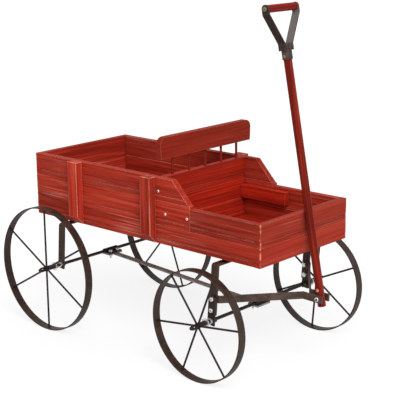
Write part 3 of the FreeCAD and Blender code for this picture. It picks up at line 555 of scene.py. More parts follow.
@dataclass(frozen=True)
class BronzePaint:
    """Dark bronze paint on steel, rubbed along the edges; on some pieces the face to the right is painted
    lighter, a painted highlight of the light that falls on it.
    """

    name: str
    face: Colour
    dark: Colour
    rubbed: Colour
    flecks: float = 0.25
    lit_right_face: Colour | None = None
    edge_wear: float = 0.6
    edge_reach: float = 0.9 * MM
    edge_grit: float = 110
    roughness: float = 0.5
    sheen: float = 0.22
    relief: float = 0.12

    def material(self) -> bpy.types.Material:
        """The finish.

        Returns:
            The material, made once.
        """
        if self.name in bpy.data.materials:
            return bpy.data.materials[self.name]
        surface = Surface.start(self.name)
        nodes = surface.nodes
        paint = nodes.place(EFFECTS.mottle, {"Vector": surface.coordinates})
        worn = nodes.place(EFFECTS.wear, {"Vector": surface.coordinates, "Reach": self.edge_reach,
                                          "Amount": self.edge_wear, "Grit": self.edge_grit})
        patches = nodes.spread(paint["Patches"], 0.36, 0.66)
        colour = nodes.blend(patches, linear(self.dark), linear(self.face))
        # Painted highlight: faces turned to the right get a lighter colour, as if lit more.
        if self.lit_right_face is not None:
            facing = nodes.part(nodes.add("ShaderNodeNewGeometry").outputs["Normal"], "Y")
            rightward = nodes.spread(nodes.sum("MULTIPLY", facing, -1.0), 0.6, 0.75)
            colour = nodes.blend(rightward, colour, linear(self.lit_right_face))
        flecks = nodes.sum("MULTIPLY", nodes.spread(paint["Specks"], 0.6, 0.72), self.flecks)
        colour = nodes.blend(flecks, colour, linear(self.rubbed))
        colour = nodes.blend(worn["Wear"], colour, linear(self.rubbed))
        # Painted shade: the paint turns darker in corners and joints.
        surface.set("Base Color", surface.shaded_in_corners(colour, shade(self.dark, 0.5), Reach=6 * MM))
        surface.roughen(paint["Patches"], self.roughness - 0.1, self.roughness + 0.12)
        surface.emboss(paint["Height"], self.relief, 0.2 * MM, Normal=worn["Normal"])
        surface.set("Specular IOR Level", self.sheen)
        return surface.material


@dataclass(frozen=True)
class PlatedSteel:
    """Bare plating on nuts, bolts, washers and screws."""

    name: str
    face: Colour
    tarnish: Colour
    metallic: float = 0.55
    roughness: float = 0.34
    tarnished: float = 0.5

    def material(self) -> bpy.types.Material:
        """The finish.

        Returns:
            The material, made once.
        """
        if self.name in bpy.data.materials:
            return bpy.data.materials[self.name]
        surface = Surface.start(self.name)
        nodes = surface.nodes
        paint = nodes.place(EFFECTS.mottle, {"Vector": surface.coordinates, "Patch Scale": 420,
                                             "Speck Scale": 2600})
        spots = nodes.sum("MULTIPLY", nodes.spread(paint["Patches"], 0.45, 0.75), self.tarnished)
        colour = nodes.blend(spots, linear(self.face), linear(self.tarnish))
        # Painted shade: the plating turns near black in corners and joints.
        surface.set("Base Color", surface.shaded_in_corners(colour, (28, 22, 20), Reach=2 * MM, Amount=1.0))
        surface.set("Metallic", self.metallic)
        surface.roughen(paint["Specks"], self.roughness - 0.08, self.roughness + 0.16)
        surface.emboss(paint["Specks"], 0.1, 0.1 * MM)
        return surface.material


BOX_WOOD = StainedWood("box_wood", (174, 51, 35), (137, 33, 19), (196, 78, 57), (242, 160, 138), boxed=True)
FRONT_WOOD = StainedWood("front_wood", (168, 52, 36), (148, 40, 25), (186, 74, 53), (232, 140, 118),
                         edge_wear=0.55, face_wear=0.25, boxed=True)
PARTITION_WOOD = StainedWood("partition_wood", (180, 40, 22), (140, 27, 12), (196, 60, 38), (214, 116, 98),
                             edge_wear=0.5, face_wear=0.12)
BATTEN_WOOD = StainedWood("batten_wood", (190, 56, 38), (152, 37, 22), (214, 86, 62), (246, 166, 142),
                          edge_wear=1.0, face_wear=0.4, edge_reach=2.3 * MM)
RAIL_WOOD = StainedWood("rail_wood", (138, 39, 24), (124, 31, 17), (150, 50, 33), (214, 126, 106),
                        edge_wear=0.5, face_wear=0.06, edge_reach=1.4 * MM, streak_scale=260)
HANDLE_WOOD = StainedWood("handle_wood", (130, 36, 23), (92, 19, 11), (158, 56, 41), (230, 150, 128),
                          edge_wear=0.5, face_wear=0.15, roughness=0.4, sheen=0.06, relief=0.2,
                          streak_scale=220)
GRIP_WOOD = StainedWood("grip_wood", (136, 25, 13), (88, 12, 6), (172, 56, 38), (214, 130, 110),
                        edge_wear=0.3, face_wear=0.1, roughness=0.4, sheen=0.08, relief=0.2,
                        streak_scale=240)

HANGER_PAINT = BronzePaint("hanger_paint", (72, 49, 39), (48, 32, 25), (120, 92, 80))
PLATE_PAINT = BronzePaint("plate_paint", (54, 39, 33), (30, 20, 16), (122, 104, 94), flecks=0.5)
RIM_PAINT = BronzePaint("rim_paint", (60, 42, 35), (42, 29, 23), (112, 92, 82), edge_wear=0.3)
SPOKE_PAINT = BronzePaint("spoke_paint", (42, 30, 26), (24, 17, 15), (84, 70, 64), edge_wear=0.2)
BEAM_PAINT = BronzePaint("beam_paint", (178, 175, 170), (132, 129, 124), (200, 196, 190), flecks=0.4)
AXLE_PAINT = BronzePaint("axle_paint", (50, 35, 29), (28, 20, 17), (92, 76, 68), edge_wear=0.2)
ARM_PAINT = BronzePaint("arm_paint", (86, 69, 59), (62, 48, 40), (130, 114, 104))
SOCKET_PAINT = BronzePaint("socket_paint", (76, 61, 54), (50, 38, 33), (128, 112, 104), flecks=0.35)
DARK_STRAP_PAINT = BronzePaint("dark_strap_paint", (52, 38, 32), (36, 25, 21), (104, 84, 76), flecks=0.3)
# Painted highlight: its faces turned to the right are lighter.
LIT_FACE_STRAP_PAINT = BronzePaint("strap_paint_lit_face", (58, 44, 38), (40, 29, 25), (150, 140, 134),
                                 flecks=0.3, lit_right_face=(102, 95, 91))
# Painted shade: a dull dark colour for the recesses in bolt heads.
RECESS_SHADE = BronzePaint("painted_recess_shade", (96, 86, 78), (64, 56, 50), (130, 118, 108), roughness=0.8, sheen=0.03)

ZINC = PlatedSteel("zinc", (164, 157, 149), (92, 82, 75))
SCREW_ZINC = PlatedSteel("screw_zinc", (226, 216, 206), (178, 162, 150), roughness=0.3, tarnished=0.3)
DARK_NUT = PlatedSteel("blackened_steel", (58, 48, 43), (30, 24, 21), roughness=0.45)
DULLED_BRASS = PlatedSteel("dulled_plating", (128, 114, 82), (78, 66, 46), roughness=0.42)


# Modelling


class Bench:
    """Modelling by operators, one object at a time."""

    @staticmethod
    def clear() -> None:
        """Deselects everything."""
        bpy.ops.object.select_all(action="DESELECT")

    @classmethod
    def only(cls, piece: bpy.types.Object) -> None:
        """Makes a piece the one that operators act on.

        Args:
            piece: what is selected and active, alone.
        """
        cls.clear()
        piece.select_set(True)
        bpy.context.view_layer.objects.active = piece

    @staticmethod
    def keep(name: str) -> bpy.types.Object:
        """Names the primitive just added, and puts its place into its mesh.

        Args:
            name: what to call it.

        Returns:
            The primitive.
        """
        piece = bpy.context.view_layer.objects.active
        piece.name = piece.data.name = name
        bpy.ops.object.transform_apply(location=True, rotation=True, scale=True)
        return piece

    @classmethod
    def cylinder(cls, name: str, radius: float, height: float, sides: int = 32,
                 base: float = 0.0) -> bpy.types.Object:
        """Adds an upright cylinder or prism.

        Args:
            name: what to call it.
            radius: its radius, across its corners.
            height: how tall it is.
            sides: how many sides it has.
            base: the height of its foot.

        Returns:
            The cylinder.
        """
        cls.clear()
        bpy.ops.mesh.primitive_cylinder_add(vertices=sides, radius=radius, depth=height,
                                            location=(0, 0, base + height / 2))
        return cls.keep(name)

    @classmethod
    def bar(cls, name: str, size: Sequence[float], base: float) -> bpy.types.Object:
        """Adds an upright bar.

        Args:
            name: what to call it.
            size: its length, width and height.
            base: the height of its foot.

        Returns:
            The bar.
        """
        cls.clear()
        bpy.ops.mesh.primitive_cube_add(size=1, location=(0, 0, base + size[2] / 2), scale=size)
        return cls.keep(name)

    @classmethod
    def ring(cls, name: str, radius: float, wire: float, **where: object) -> bpy.types.Object:
        """Adds a ring of round wire.

        Args:
            name: what to call it.
            radius: from its middle to the middle of the wire.
            wire: the wire's radius.
            **where: its place and turn, if it doesn't lie on the bench.

        Returns:
            The ring.
        """
        cls.clear()
        bpy.ops.mesh.primitive_torus_add(major_radius=radius, minor_radius=wire, major_segments=20,
                                         minor_segments=8, **where)
        return cls.keep(name)

    @classmethod
    @contextmanager
    def editing(cls, piece: bpy.types.Object) -> Iterator[None]:
        """Holds a piece in edit mode.

        Args:
            piece: what is edited.

        Returns:
            A context at whose end the piece is back in object mode.
        """
        cls.only(piece)
        bpy.ops.object.mode_set(mode="EDIT")
        yield
        bpy.ops.object.mode_set(mode="OBJECT")

    @staticmethod
    def pick(piece: bpy.types.Object, kind: str, test: Test) -> None:
        """Selects the vertices, edges or faces of a piece in edit mode that pass a test.

        Args:
            piece: what is being edited.
            kind: VERT, EDGE or FACE.
            test: tells whether one of them is wanted.
        """
        bpy.ops.mesh.select_mode(type=kind)
        bpy.ops.mesh.select_all(action="DESELECT")
        mesh = bmesh.from_edit_mesh(piece.data)
        for item in {"VERT": mesh.verts, "EDGE": mesh.edges, "FACE": mesh.faces}[kind]:
            if test(item):
                item.select_set(True)
        mesh.select_flush_mode()
        bmesh.update_edit_mesh(piece.data)

    @classmethod
    def cut_upright_edges(cls, piece: bpy.types.Object, longer_than: float, cuts: int) -> None:
        """Cuts across the upright edges of a piece in edit mode that are longer than a length."""
        cls.pick(piece, "EDGE", lambda edge: abs(edge.verts[0].co.z - edge.verts[1].co.z) > longer_than)
        bpy.ops.mesh.subdivide(number_cuts=cuts)

    @classmethod
    def round_rim(cls, piece: bpy.types.Object, height: float, width: float, segments: int = 4) -> None:
        """Rounds the edges that lie level at a height.

        Args:
            piece: what is rounded.
            height: where its rim is.
            width: how far the rounding reaches from the rim.
            segments: how many faces it has.
        """
        with cls.editing(piece):
            cls.pick(piece, "EDGE", lambda edge: all(abs(end.co.z - height) < 1e-6 for end in edge.verts))
            bpy.ops.mesh.bevel(offset=width, segments=segments, affect="EDGES")

    @classmethod
    def carve(cls, piece: bpy.types.Object, tool: bpy.types.Object, way: str = "DIFFERENCE") -> None:
        """Cuts a piece with a tool, and clears the tool away.

        Args:
            piece: what is cut.
            tool: what it is cut with.
            way: DIFFERENCE takes the tool away, INTERSECT keeps what both share.
        """
        modifier = piece.modifiers.new("carve", "BOOLEAN")
        modifier.operation = way
        modifier.solver = "EXACT"
        modifier.object = tool
        cls.only(piece)
        bpy.ops.object.modifier_apply(modifier=modifier.name)
        cls.discard(tool)

    @staticmethod
    def copy(piece: bpy.types.Object, name: str, where: Matrix) -> bpy.types.Object:
        """Copies a piece, with a mesh of its own.

        Args:
            piece: the pattern.
            name: what to call the copy.
            where: its place.

        Returns:
            The copy.
        """
        twin = piece.copy()
        twin.data = piece.data.copy()
        twin.name = name
        twin.data.transform(where)
        bpy.context.scene.collection.objects.link(twin)
        return twin

    @classmethod
    def join(cls, name: str, pieces: Sequence[bpy.types.Object]) -> bpy.types.Object:
        """Joins pieces.

        Args:
            name: what to call the whole.
            pieces: what is joined.

        Returns:
            The one object.
        """
        cls.clear()
        for piece in pieces:
            piece.select_set(True)
        bpy.context.view_layer.objects.active = pieces[0]
        bpy.ops.object.join()
        joined = bpy.context.view_layer.objects.active
        joined.name = joined.data.name = name
        return joined

    @classmethod
    def smooth(cls, piece: bpy.types.Object, degrees: float = 38) -> bpy.types.Object:
        """Shades a piece smoothly, except over its sharper edges.

        Args:
            piece: what is shaded.
            degrees: the angle from which on an edge stays sharp.

        Returns:
            The same piece.
        """
        cls.only(piece)
        bpy.ops.object.shade_smooth_by_angle(angle=math.radians(degrees))
        return piece

    @classmethod
    def paint(cls, piece: bpy.types.Object, material: bpy.types.Material, test: Test | None = None) -> None:
        """Gives a piece its material, or another one to some of its faces.

        Args:
            piece: what is painted.
            material: the finish.
            test: tells whether a face gets it; without it, the piece has no other finish yet.
        """
        piece.data.materials.append(material)
        if test is not None:
            with cls.editing(piece):
                cls.pick(piece, "FACE", test)
                piece.active_material_index = len(piece.data.materials) - 1
                bpy.ops.object.material_slot_assign()

    @staticmethod
    def discard(*pieces: bpy.types.Object) -> None:
        """Removes tools, and patterns that copies were made from."""
        for piece in pieces:
            bpy.data.objects.remove(piece)


@dataclass(frozen=True)
class Spot:
    """Where a fastener's underside is, and which way its head looks."""

    where: Vector
    outward: Vector

    @classmethod
    def on_axle(cls, end: str, side: int, start: float) -> "Spot":
        """A spot on the rear or the front axle, at a distance to one side of the cart's middle."""
        return cls(SIZES.axle(end) + Vector((0, side * start, 0)), Vector((0, side, 0)))

    def matrix(self, spin: float = 0.0) -> Matrix:
        """The move from the bench to this spot, after a spin in radians about the fastener's own axis."""
        turn = Vector((0, 0, 1)).rotation_difference(self.outward).to_matrix().to_4x4()
        return Matrix.Translation(self.where) @ turn @ Matrix.Rotation(spin, 4, "Z")


@dataclass(frozen=True)
class Fasteners:
    """Patterns of the small hardware, each standing on the bench with its head up.

    The lengths are those of the bolts through plates, straps, pole and grip. The plain numbers are
    shares of a radius, but those of domes, rims and floors are of a height, and those of leg bends
    of a pin's length.
    """

    bolt_radius: float = 2.5 * MM
    thread_pitch: float = 0.8 * MM
    bolt_end: float = 2 * MM
    head_radius: float = 4 * MM
    head_high: float = 2.6 * MM
    nut_radius: float = 4.6 * MM
    nut_high: float = 3.6 * MM
    dome_share: float = 0.8
    cross_length_share: float = 1.05
    cross_width_share: float = 0.26
    cross_floor_share: float = 0.45
    shank_inset_share: float = 0.42
    head_rim_share: float = 0.5
    recess_share: float = 0.34
    recess_inside_share: float = 0.33
    recess_floor_share: float = 0.62
    turned_share: float = 0.99
    turned_corner_share: float = 0.16
    thread_root_share: float = 0.86
    thread_tip_share: float = 0.8
    washer_rim_share: float = 0.3
    leg_bends: tuple[float, float, float] = (0.2, 0.3, 0.4)
    leg_step: float = 1.2
    bead_lumps: float = 0.22
    bead_flatness: float = 0.8

    def cross_screw(self, name: str, radius: float, height: float) -> bpy.types.Object:
        """The domed head of a cross-recessed screw, with the start of its shank.

        Args:
            name: what to call it.
            radius: radius of the head.
            height: height of the head.

        Returns:
            The head, its underside at zero.
        """
        head = Bench.cylinder(name, radius, height)
        Bench.round_rim(head, height, height * self.dome_share, 6)
        long, narrow = radius * self.cross_length_share, radius * self.cross_width_share
        for arm in ((long, narrow), (narrow, long)):
            Bench.carve(head, Bench.bar("recess_tool", (*arm, height), height * self.cross_floor_share))

        def underside(face: bmesh.types.BMFace) -> bool:
            """Whether a face is the flat underside of the head."""
            return face.normal.z < -0.9 and face.calc_center_median().z < 1e-6

        with Bench.editing(head):
            Bench.pick(head, "FACE", underside)
            bpy.ops.mesh.inset(thickness=radius * self.shank_inset_share)
            bpy.ops.mesh.extrude_region_move(TRANSFORM_OT_translate={"value": (0, 0, -height)})
        return Bench.smooth(head)

    def bolt_head(self, name: str, finish: PlatedSteel, corners: int) -> bpy.types.Object:
        """A low round bolt head with a rolled rim and a recess painted dark, as painted shade.

        Args:
            name: what to call it.
            finish: the plating round the recess.
            corners: how many sides the recess has.

        Returns:
            The head, its underside at zero.
        """
        radius, height = self.head_radius, self.head_high
        head = Bench.cylinder(name, radius, height)
        Bench.round_rim(head, height, height * self.head_rim_share, 5)
        Bench.carve(head, Bench.cylinder("recess_tool", radius * self.recess_share, height, corners,
                                         height * self.recess_floor_share))

        def recessed(face: bmesh.types.BMFace) -> bool:
            """Whether a face is in the recess, and not the underside."""
            middle = face.calc_center_median()
            return math.hypot(*middle[:2]) < radius * self.recess_inside_share and middle.z > 0.1 * height

        Bench.paint(head, finish.material())
        # Painted shade: the recess gets a darker colour.
        Bench.paint(head, RECESS_SHADE.material(), recessed)
        return Bench.smooth(head)

    def nut(self, name: str, radius: float, height: float, bore: float,
            finish: PlatedSteel) -> bpy.types.Object:
        """A six-sided nut whose corners are turned down at both faces.

        Args:
            name: what to call it.
            radius: its radius across the corners.
            height: how thick it is.
            bore: radius of its hole.
            finish: its plating.

        Returns:
            The nut.
        """
        blank = Bench.cylinder(name, radius, height, 6)
        turned = Bench.cylinder("turning_tool", radius * self.turned_share, height, 48)
        for level in (0, height):
            Bench.round_rim(turned, level, radius * self.turned_corner_share, 2)
        Bench.carve(blank, turned, "INTERSECT")
        Bench.carve(blank, Bench.cylinder("bore_tool", bore, 3 * height, base=-height))
        Bench.paint(blank, finish.material())
        return Bench.smooth(blank, 25)

    def thread(self, name: str, radius: float, length: float, pitch: float,
               finish: PlatedSteel) -> bpy.types.Object:
        """A rod with thread grooves and a chamfered end.

        Args:
            name: what to call it.
            radius: its radius over the threads.
            length: how long it is.
            pitch: from groove to groove.
            finish: its plating.

        Returns:
            The rod.
        """
        rod = Bench.cylinder(name, radius, length, 24)
        turns = max(2, round(length / pitch))
        step = length / (2 * turns)
        with Bench.editing(rod):
            Bench.cut_upright_edges(rod, length / 2, 2 * turns - 1)
            for share, test in (
                (self.thread_root_share, lambda vert: round(vert.co.z / step) % 2 == 1),
                (self.thread_tip_share, lambda vert: vert.co.z > length - step / 2),
            ):
                Bench.pick(rod, "VERT", test)
                bpy.ops.transform.resize(value=(share, share, 1), center_override=(0, 0, 0))
        Bench.paint(rod, finish.material())
        return Bench.smooth(rod, 20)

    def split_pin(self, name: str, wire: float, length: float) -> bpy.types.Object:
        """A split pin: a round eye on top, and two legs through the bench that part at their feet.

        Args:
            name: what to call it.
            wire: radius of its wire.
            length: how long it is.

        Returns:
            The pin, its middle at the bench.
        """
        parts = [Bench.ring(f"{name}_eye", 2 * wire, wire, rotation=(math.pi / 2, 0, 0),
                            location=(0, 0, length / 2 - wire))]
        for way in (1, -1):
            leg = Bench.cylinder(f"{name}_leg", wire, length - 2 * wire, 10, -length / 2)
            with Bench.editing(leg):
                Bench.cut_upright_edges(leg, wire, 7)
                Bench.pick(leg, "VERT", lambda vert: True)
                bpy.ops.transform.translate(value=(way * wire, 0, 0))
                for share in self.leg_bends:
                    Bench.pick(leg, "VERT", lambda vert: vert.co.z < -length * share)
                    bpy.ops.transform.translate(value=(way * wire * self.leg_step, 0, 0))
            parts.append(leg)
        return Bench.smooth(Bench.join(name, parts), 50)

    def washer(self, name: str, radius: float, height: float, bore: float,
               finish: PlatedSteel) -> bpy.types.Object:
        """A flat washer with a rolled outer edge.

        Args:
            name: what to call it.
            radius: its outer radius.
            height: how thick it is.
            bore: radius of its hole.
            finish: its plating.

        Returns:
            The washer.
        """
        disc = Bench.cylinder(name, radius, height, 48)
        for level in (0, height):
            Bench.round_rim(disc, level, height * self.washer_rim_share, 2)
        Bench.carve(disc, Bench.cylinder("bore_tool", bore, 3 * height, base=-height))
        Bench.paint(disc, finish.material())
        return Bench.smooth(disc, 40)

    def weld(self, name: str, radius: float, thickness: float) -> bpy.types.Object:
        """A lumpy bead round a rod that is welded to a wall at the bench.

        Args:
            name: what to call it.
            radius: radius of the ring that it makes.
            thickness: radius of the bead itself.

        Returns:
            The bead.
        """
        bead = Bench.ring(name, radius, thickness)
        with Bench.editing(bead):
            Bench.pick(bead, "VERT", lambda vert: True)
            bpy.ops.transform.vertex_random(offset=thickness * self.bead_lumps, seed=7)
            bpy.ops.transform.resize(value=(1, 1, self.bead_flatness), center_override=(0, 0, 0))
        return Bench.smooth(bead, 60)

    def bolt_set(self, grip: float, plating: PlatedSteel, rest: PlatedSteel,
                 corners: int = 6) -> tuple[bpy.types.Object, ...]:
        """Patterns of a bolt's head, thread and nut.

        Args:
            grip: how much of the shank shows between head and nut.
            plating: the finish of the head.
            rest: the finish of thread and nut.
            corners: how many sides the recess in the head has.

        Returns:
            The three patterns.
        """
        head = self.bolt_head("head_pattern", plating, corners)
        thread = self.thread("thread_pattern", self.bolt_radius, grip + self.nut_high + self.bolt_end,
                             self.thread_pitch, rest)
        nut = self.nut("nut_pattern", self.nut_radius, self.nut_high, self.bolt_radius, rest)
        return head, thread, nut

    @staticmethod
    def put_bolt(patterns: Sequence[bpy.types.Object], head: Spot, grip: float, spins: Sequence[float],
                 hidden: float = 0.0) -> list[bpy.types.Object]:
        """Puts a bolt through a stack.

        Args:
            patterns: its head, thread and nut.
            head: the spot of its head.
            grip: how thick the stack is.
            spins: how far head and nut are turned, in radians.
            hidden: how much of the shank, from the head on, isn't modelled.

        Returns:
            The copies in place.
        """
        inward = -head.outward
        moves = (head.matrix(spins[0]), Spot(head.where + inward * hidden, inward).matrix(),
                 Spot(head.where + inward * grip, inward).matrix(spins[1]))
        return [Bench.copy(pattern, "part", move) for pattern, move in zip(patterns, moves)]


HARDWARE = Fasteners()


def dress(material: bpy.types.Material, *names: str) -> None:
    """Gives the solids of some nodes a finish."""
    for name in names:
        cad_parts[name].material_slots[0].material = material


def add_piece(piece: bpy.types.Object, body: str,
              material: bpy.types.Material | None = None) -> None:
    """Puts a new piece on its body.

    Args:
        piece: the finished piece.
        body: the body that it rides on.
        material: what it is made of, unless its parts already have theirs.
    """
    if material is not None:
        piece.data.materials.clear()
        piece.data.materials.append(material)
    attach(piece, body)
    LOG.info("%s: %d faces on %s", piece.name, len(piece.data.polygons), body)


# Sub-assemblies


@dataclass
class PlanterBox:
    """The stepped box, its rail and the screws in its sides.

    Places along the box start at its tail, and heights at its underside.
    """

    screw_radius: float = 2.7 * MM
    screw_height: float = 1.4 * MM
    partition_screw: tuple[float, float] = (321.5 * MM, 93 * MM)
    splice_screws: tuple[float, float] = (337.6 * MM, 388.1 * MM)
    splice_rise: float = 55 * MM

    def build(self) -> None:
        """Makes the box's screws and gives its boards their finishes."""
        self.dress_boards()
        self.side_screws()

    def dress_boards(self) -> None:
        """Gives each board its own stretch of grain."""
        for number, level in enumerate(("bottom", "middle", "top")):
            for turn, (word, _) in enumerate(SIDES):
                dress(BOX_WOOD.material(Grain.LENGTHWISE, number + 3 * turn), f"{word}_{level}_board")
            dress(BOX_WOOD.material(Grain.CROSSWISE, number + 3), f"tail_{level}_board")
            dress(PARTITION_WOOD.material(Grain.CROSSWISE, number), f"partition_{level}_board")
        for turn, (word, _) in enumerate(SIDES):
            dress(BOX_WOOD.material(Grain.LENGTHWISE, 6 + turn), f"{word}_low_board")
            for number, end in enumerate(ENDS):
                dress(BATTEN_WOOD.material(Grain.UPRIGHT, 1 + number + 5 * turn), f"{end}_{word}_batten")
        dress(FRONT_WOOD.material(Grain.CROSSWISE, 3), "front_bottom_board")
        dress(FRONT_WOOD.material(Grain.CROSSWISE, 7), "front_top_board")
        dress(RAIL_WOOD.material(Grain.CROSSWISE, 1), "rail")
        dress(RAIL_WOOD.material(Grain.UPRIGHT, 2), "spindles")
        dress(PARTITION_WOOD.material(Grain.LENGTHWISE, 1), "floor_slats", "splice_cleats")
        dress(PARTITION_WOOD.material(Grain.CROSSWISE, 3), "cross_cleats")

    def side_screws(self) -> None:
        """Drives three screws into each side: one into the partition, two into the splice cleat."""
        pattern = HARDWARE.cross_screw("side_screw_pattern", self.screw_radius, self.screw_height)
        places = (self.partition_screw, *((along, self.splice_rise) for along in self.splice_screws))
        for word, side in SIDES:
            heads = []
            for number, (along, rise) in enumerate(places):
                where = Vector((SIZES.tail_x + along, side * SIZES.box_half, SIZES.box_bottom + rise))
                spot = Spot(where, Vector((0, side, 0)))
                heads.append(Bench.copy(pattern, "head", spot.matrix(0.5 + 1.3 * number)))
            add_piece(Bench.join(f"{word}_side_screws", heads), "cart", SCREW_ZINC.material())
        Bench.discard(pattern)


@dataclass
class Undercarriage:
    """Hangers, axles, reach beam and their hardware.

    Places along an axle start at the cart's middle, and those of the clamp bolts at the axle.
    """

    nut_radius: float = 5.8 * MM
    nut_high: float = 4.6 * MM
    washer_radius: float = 8 * MM
    washer_thick: float = 1.2 * MM
    washer_in: float = 143.5 * MM
    hub_out: float = 175 * MM
    end_play: float = 0.3 * MM
    end_washer_radius: float = 4.4 * MM
    pin_at: float = 177.35 * MM
    pin_wire: float = 0.42 * MM
    pin_length: float = 14 * MM
    pin_turn: float = math.radians(60)
    low_bolt_z: float = 115.1 * MM
    bolt_pitch: float = 20 * MM
    arm_thick: float = 3 * MM
    saddle_thick: float = 2 * MM
    beam_thick: float = 3 * MM
    clamp_at: float = 10 * MM
    clamp_half: float = 9.2 * MM
    clamp_radius: float = 2 * MM
    clamp_nut_radius: float = 3.8 * MM
    clamp_nut_high: float = 3 * MM
    clamp_end: float = 4 * MM
    clamp_pitch: float = 0.7 * MM
    flange_screw_at: float = 90 * MM
    flange_screw_radius: float = 3.2 * MM
    flange_screw_high: float = 1.6 * MM
    inner_thread: float = 3 * MM
    axle_pitch: float = 1 * MM
    thread_proud: float = 0.05 * MM

    def build(self) -> None:
        """Makes the hardware and gives the steel its finishes."""
        dress(HANGER_PAINT.material(), *(f"{end}_{word}_hanger" for end, word, _ in CORNERS))
        dress(PLATE_PAINT.material(), "left_axle_plate", "right_axle_plate")
        dress(BEAM_PAINT.material(), "reach_beam")
        dress(AXLE_PAINT.material(), "rear_axle", "front_axle", "rear_saddle", "front_saddle")
        self.axle_nuts()
        self.hub_washers()
        self.split_pins()
        self.plate_bolts()
        self.clamp_bolts()
        self.flange_screws()
        self.axle_threads()

    def axle_nuts(self) -> None:
        """Puts lock nuts on both faces of each hanger, and one that keeps each wheel off its hanger."""
        size = (self.nut_radius, self.nut_high, SIZES.axle_radius)
        bright = HARDWARE.nut("bright_nut_pattern", *size, ZINC)
        dark = HARDWARE.nut("dark_nut_pattern", *size, DARK_NUT)
        nuts = []
        for end, _, side in CORNERS:
            plate = SIZES.strap_thick if end == "front" else 0
            starts = (SIZES.strap_out - SIZES.strap_thick - self.nut_high, SIZES.strap_out + plate,
                      self.washer_in - self.nut_high)
            for number, (pattern, start) in enumerate(zip((dark, bright, dark), starts)):
                spot = Spot.on_axle(end, side, start)
                nuts.append(Bench.copy(pattern, "nut", spot.matrix(0.3 * number + side)))
        piece = Bench.join("chamfered_axle_nuts", nuts)
        add_piece(piece, "cart")
        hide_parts("axle_nuts")
        Bench.discard(bright, dark)

    def hub_washers(self) -> None:
        """Puts a washer on each side of each hub, the outer one small."""
        rest = (self.washer_thick, SIZES.axle_radius)
        inner = HARDWARE.washer("washer_pattern", self.washer_radius, *rest, ZINC)
        outer = HARDWARE.washer("end_washer_pattern", self.end_washer_radius, *rest, DARK_NUT)
        washers = [
            Bench.copy(pattern, "washer", Spot.on_axle(end, side, start).matrix())
            for end, _, side in CORNERS
            for pattern, start in ((inner, self.washer_in), (outer, self.hub_out + self.end_play))
        ]
        piece = Bench.join("rolled_washers", washers)
        add_piece(piece, "cart")
        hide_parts("hub_washers")
        Bench.discard(inner, outer)

    def split_pins(self) -> None:
        """Puts the pin through each end of each axle."""
        pattern = HARDWARE.split_pin("split_pin_pattern", self.pin_wire, self.pin_length)
        along = Vector((math.sin(self.pin_turn), 0, math.cos(self.pin_turn)))
        pins = [
            Bench.copy(pattern, "pin",
                       Spot(Spot.on_axle(end, side, self.pin_at).where, along).matrix(math.pi / 2))
            for end, _, side in CORNERS
        ]
        piece = Bench.join("eyed_split_pins", pins)
        add_piece(piece, "cart", ZINC.material())
        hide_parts("split_pins")
        Bench.discard(pattern)

    def plate_bolts(self) -> None:
        """Puts the bolts through plate and strap, the upper ones through an arm too."""
        plates = 2 * SIZES.strap_thick
        parts = []
        for level, grip in ((self.low_bolt_z, plates),
                            (self.low_bolt_z + self.bolt_pitch, plates + self.arm_thick)):
            patterns = HARDWARE.bolt_set(grip, ZINC, ZINC)
            for _, side in SIDES:
                outside = side * (SIZES.strap_out + SIZES.strap_thick)
                head = Spot(Vector((SIZES.on_strap("front", level), outside, level)), Vector((0, side, 0)))
                parts += HARDWARE.put_bolt(patterns, head, grip, (0.4 + level * 90, side * 0.2))
            Bench.discard(*patterns)
        piece = Bench.join("recessed_plate_bolts", parts)
        add_piece(piece, "cart")
        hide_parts("plate_bolts")

    def clamp_bolts(self) -> None:
        """Clamps the saddles: bolts with their heads up, nuts and thread ends hanging below."""
        grip = self.saddle_thick + self.beam_thick
        nut = HARDWARE.nut("clamp_nut_pattern", self.clamp_nut_radius, self.clamp_nut_high,
                           self.clamp_radius, ZINC)
        thread = HARDWARE.thread("clamp_thread_pattern", self.clamp_radius,
                                 grip + self.clamp_nut_high + self.clamp_end, self.clamp_pitch, ZINC)
        parts = []
        for end, _, side in CORNERS:
            ahead = self.clamp_at if end == "rear" else -self.clamp_at
            top = SIZES.axle(end) + Vector((ahead, side * self.clamp_half,
                                            self.saddle_thick - SIZES.axle_radius))
            head = Spot(top, Vector((0, 0, 1)))
            parts += HARDWARE.put_bolt((nut, thread, nut), head, grip, (0.3 * side, 0.8 * side))
        piece = Bench.join("threaded_clamp_bolts", parts)
        add_piece(piece, "cart")
        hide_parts("clamp_bolts")
        Bench.discard(nut, thread)

    def flange_screws(self) -> None:
        """Drives a screw up through each hanger's flange into its cross cleat."""
        pattern = HARDWARE.cross_screw("flange_screw_pattern", self.flange_screw_radius,
                                       self.flange_screw_high)
        under = SIZES.box_bottom - SIZES.cleat_thick - SIZES.strap_thick
        screws = []
        for end, _, side in CORNERS:
            where = Vector((SIZES.on_strap(end, under), side * self.flange_screw_at, under))
            screws.append(Bench.copy(pattern, "screw", Spot(where, Vector((0, 0, -1))).matrix(0.6 * side)))
        add_piece(Bench.join("hanger_flange_screws", screws), "cart", DARK_NUT.material())
        Bench.discard(pattern)

    def axle_threads(self) -> None:
        """Cuts the threaded stretches of the axles, by the hangers."""
        start = SIZES.strap_out - SIZES.strap_thick - self.nut_high - self.inner_thread
        pattern = HARDWARE.thread("axle_thread_pattern", SIZES.axle_radius + self.thread_proud,
                                  self.washer_in - start, self.axle_pitch, DARK_NUT)
        threads = [
            Bench.copy(pattern, "thread", Spot.on_axle(end, side, start).matrix())
            for end, _, side in CORNERS
        ]
        add_piece(Bench.join("axle_threads", threads), "cart")
        Bench.discard(pattern)


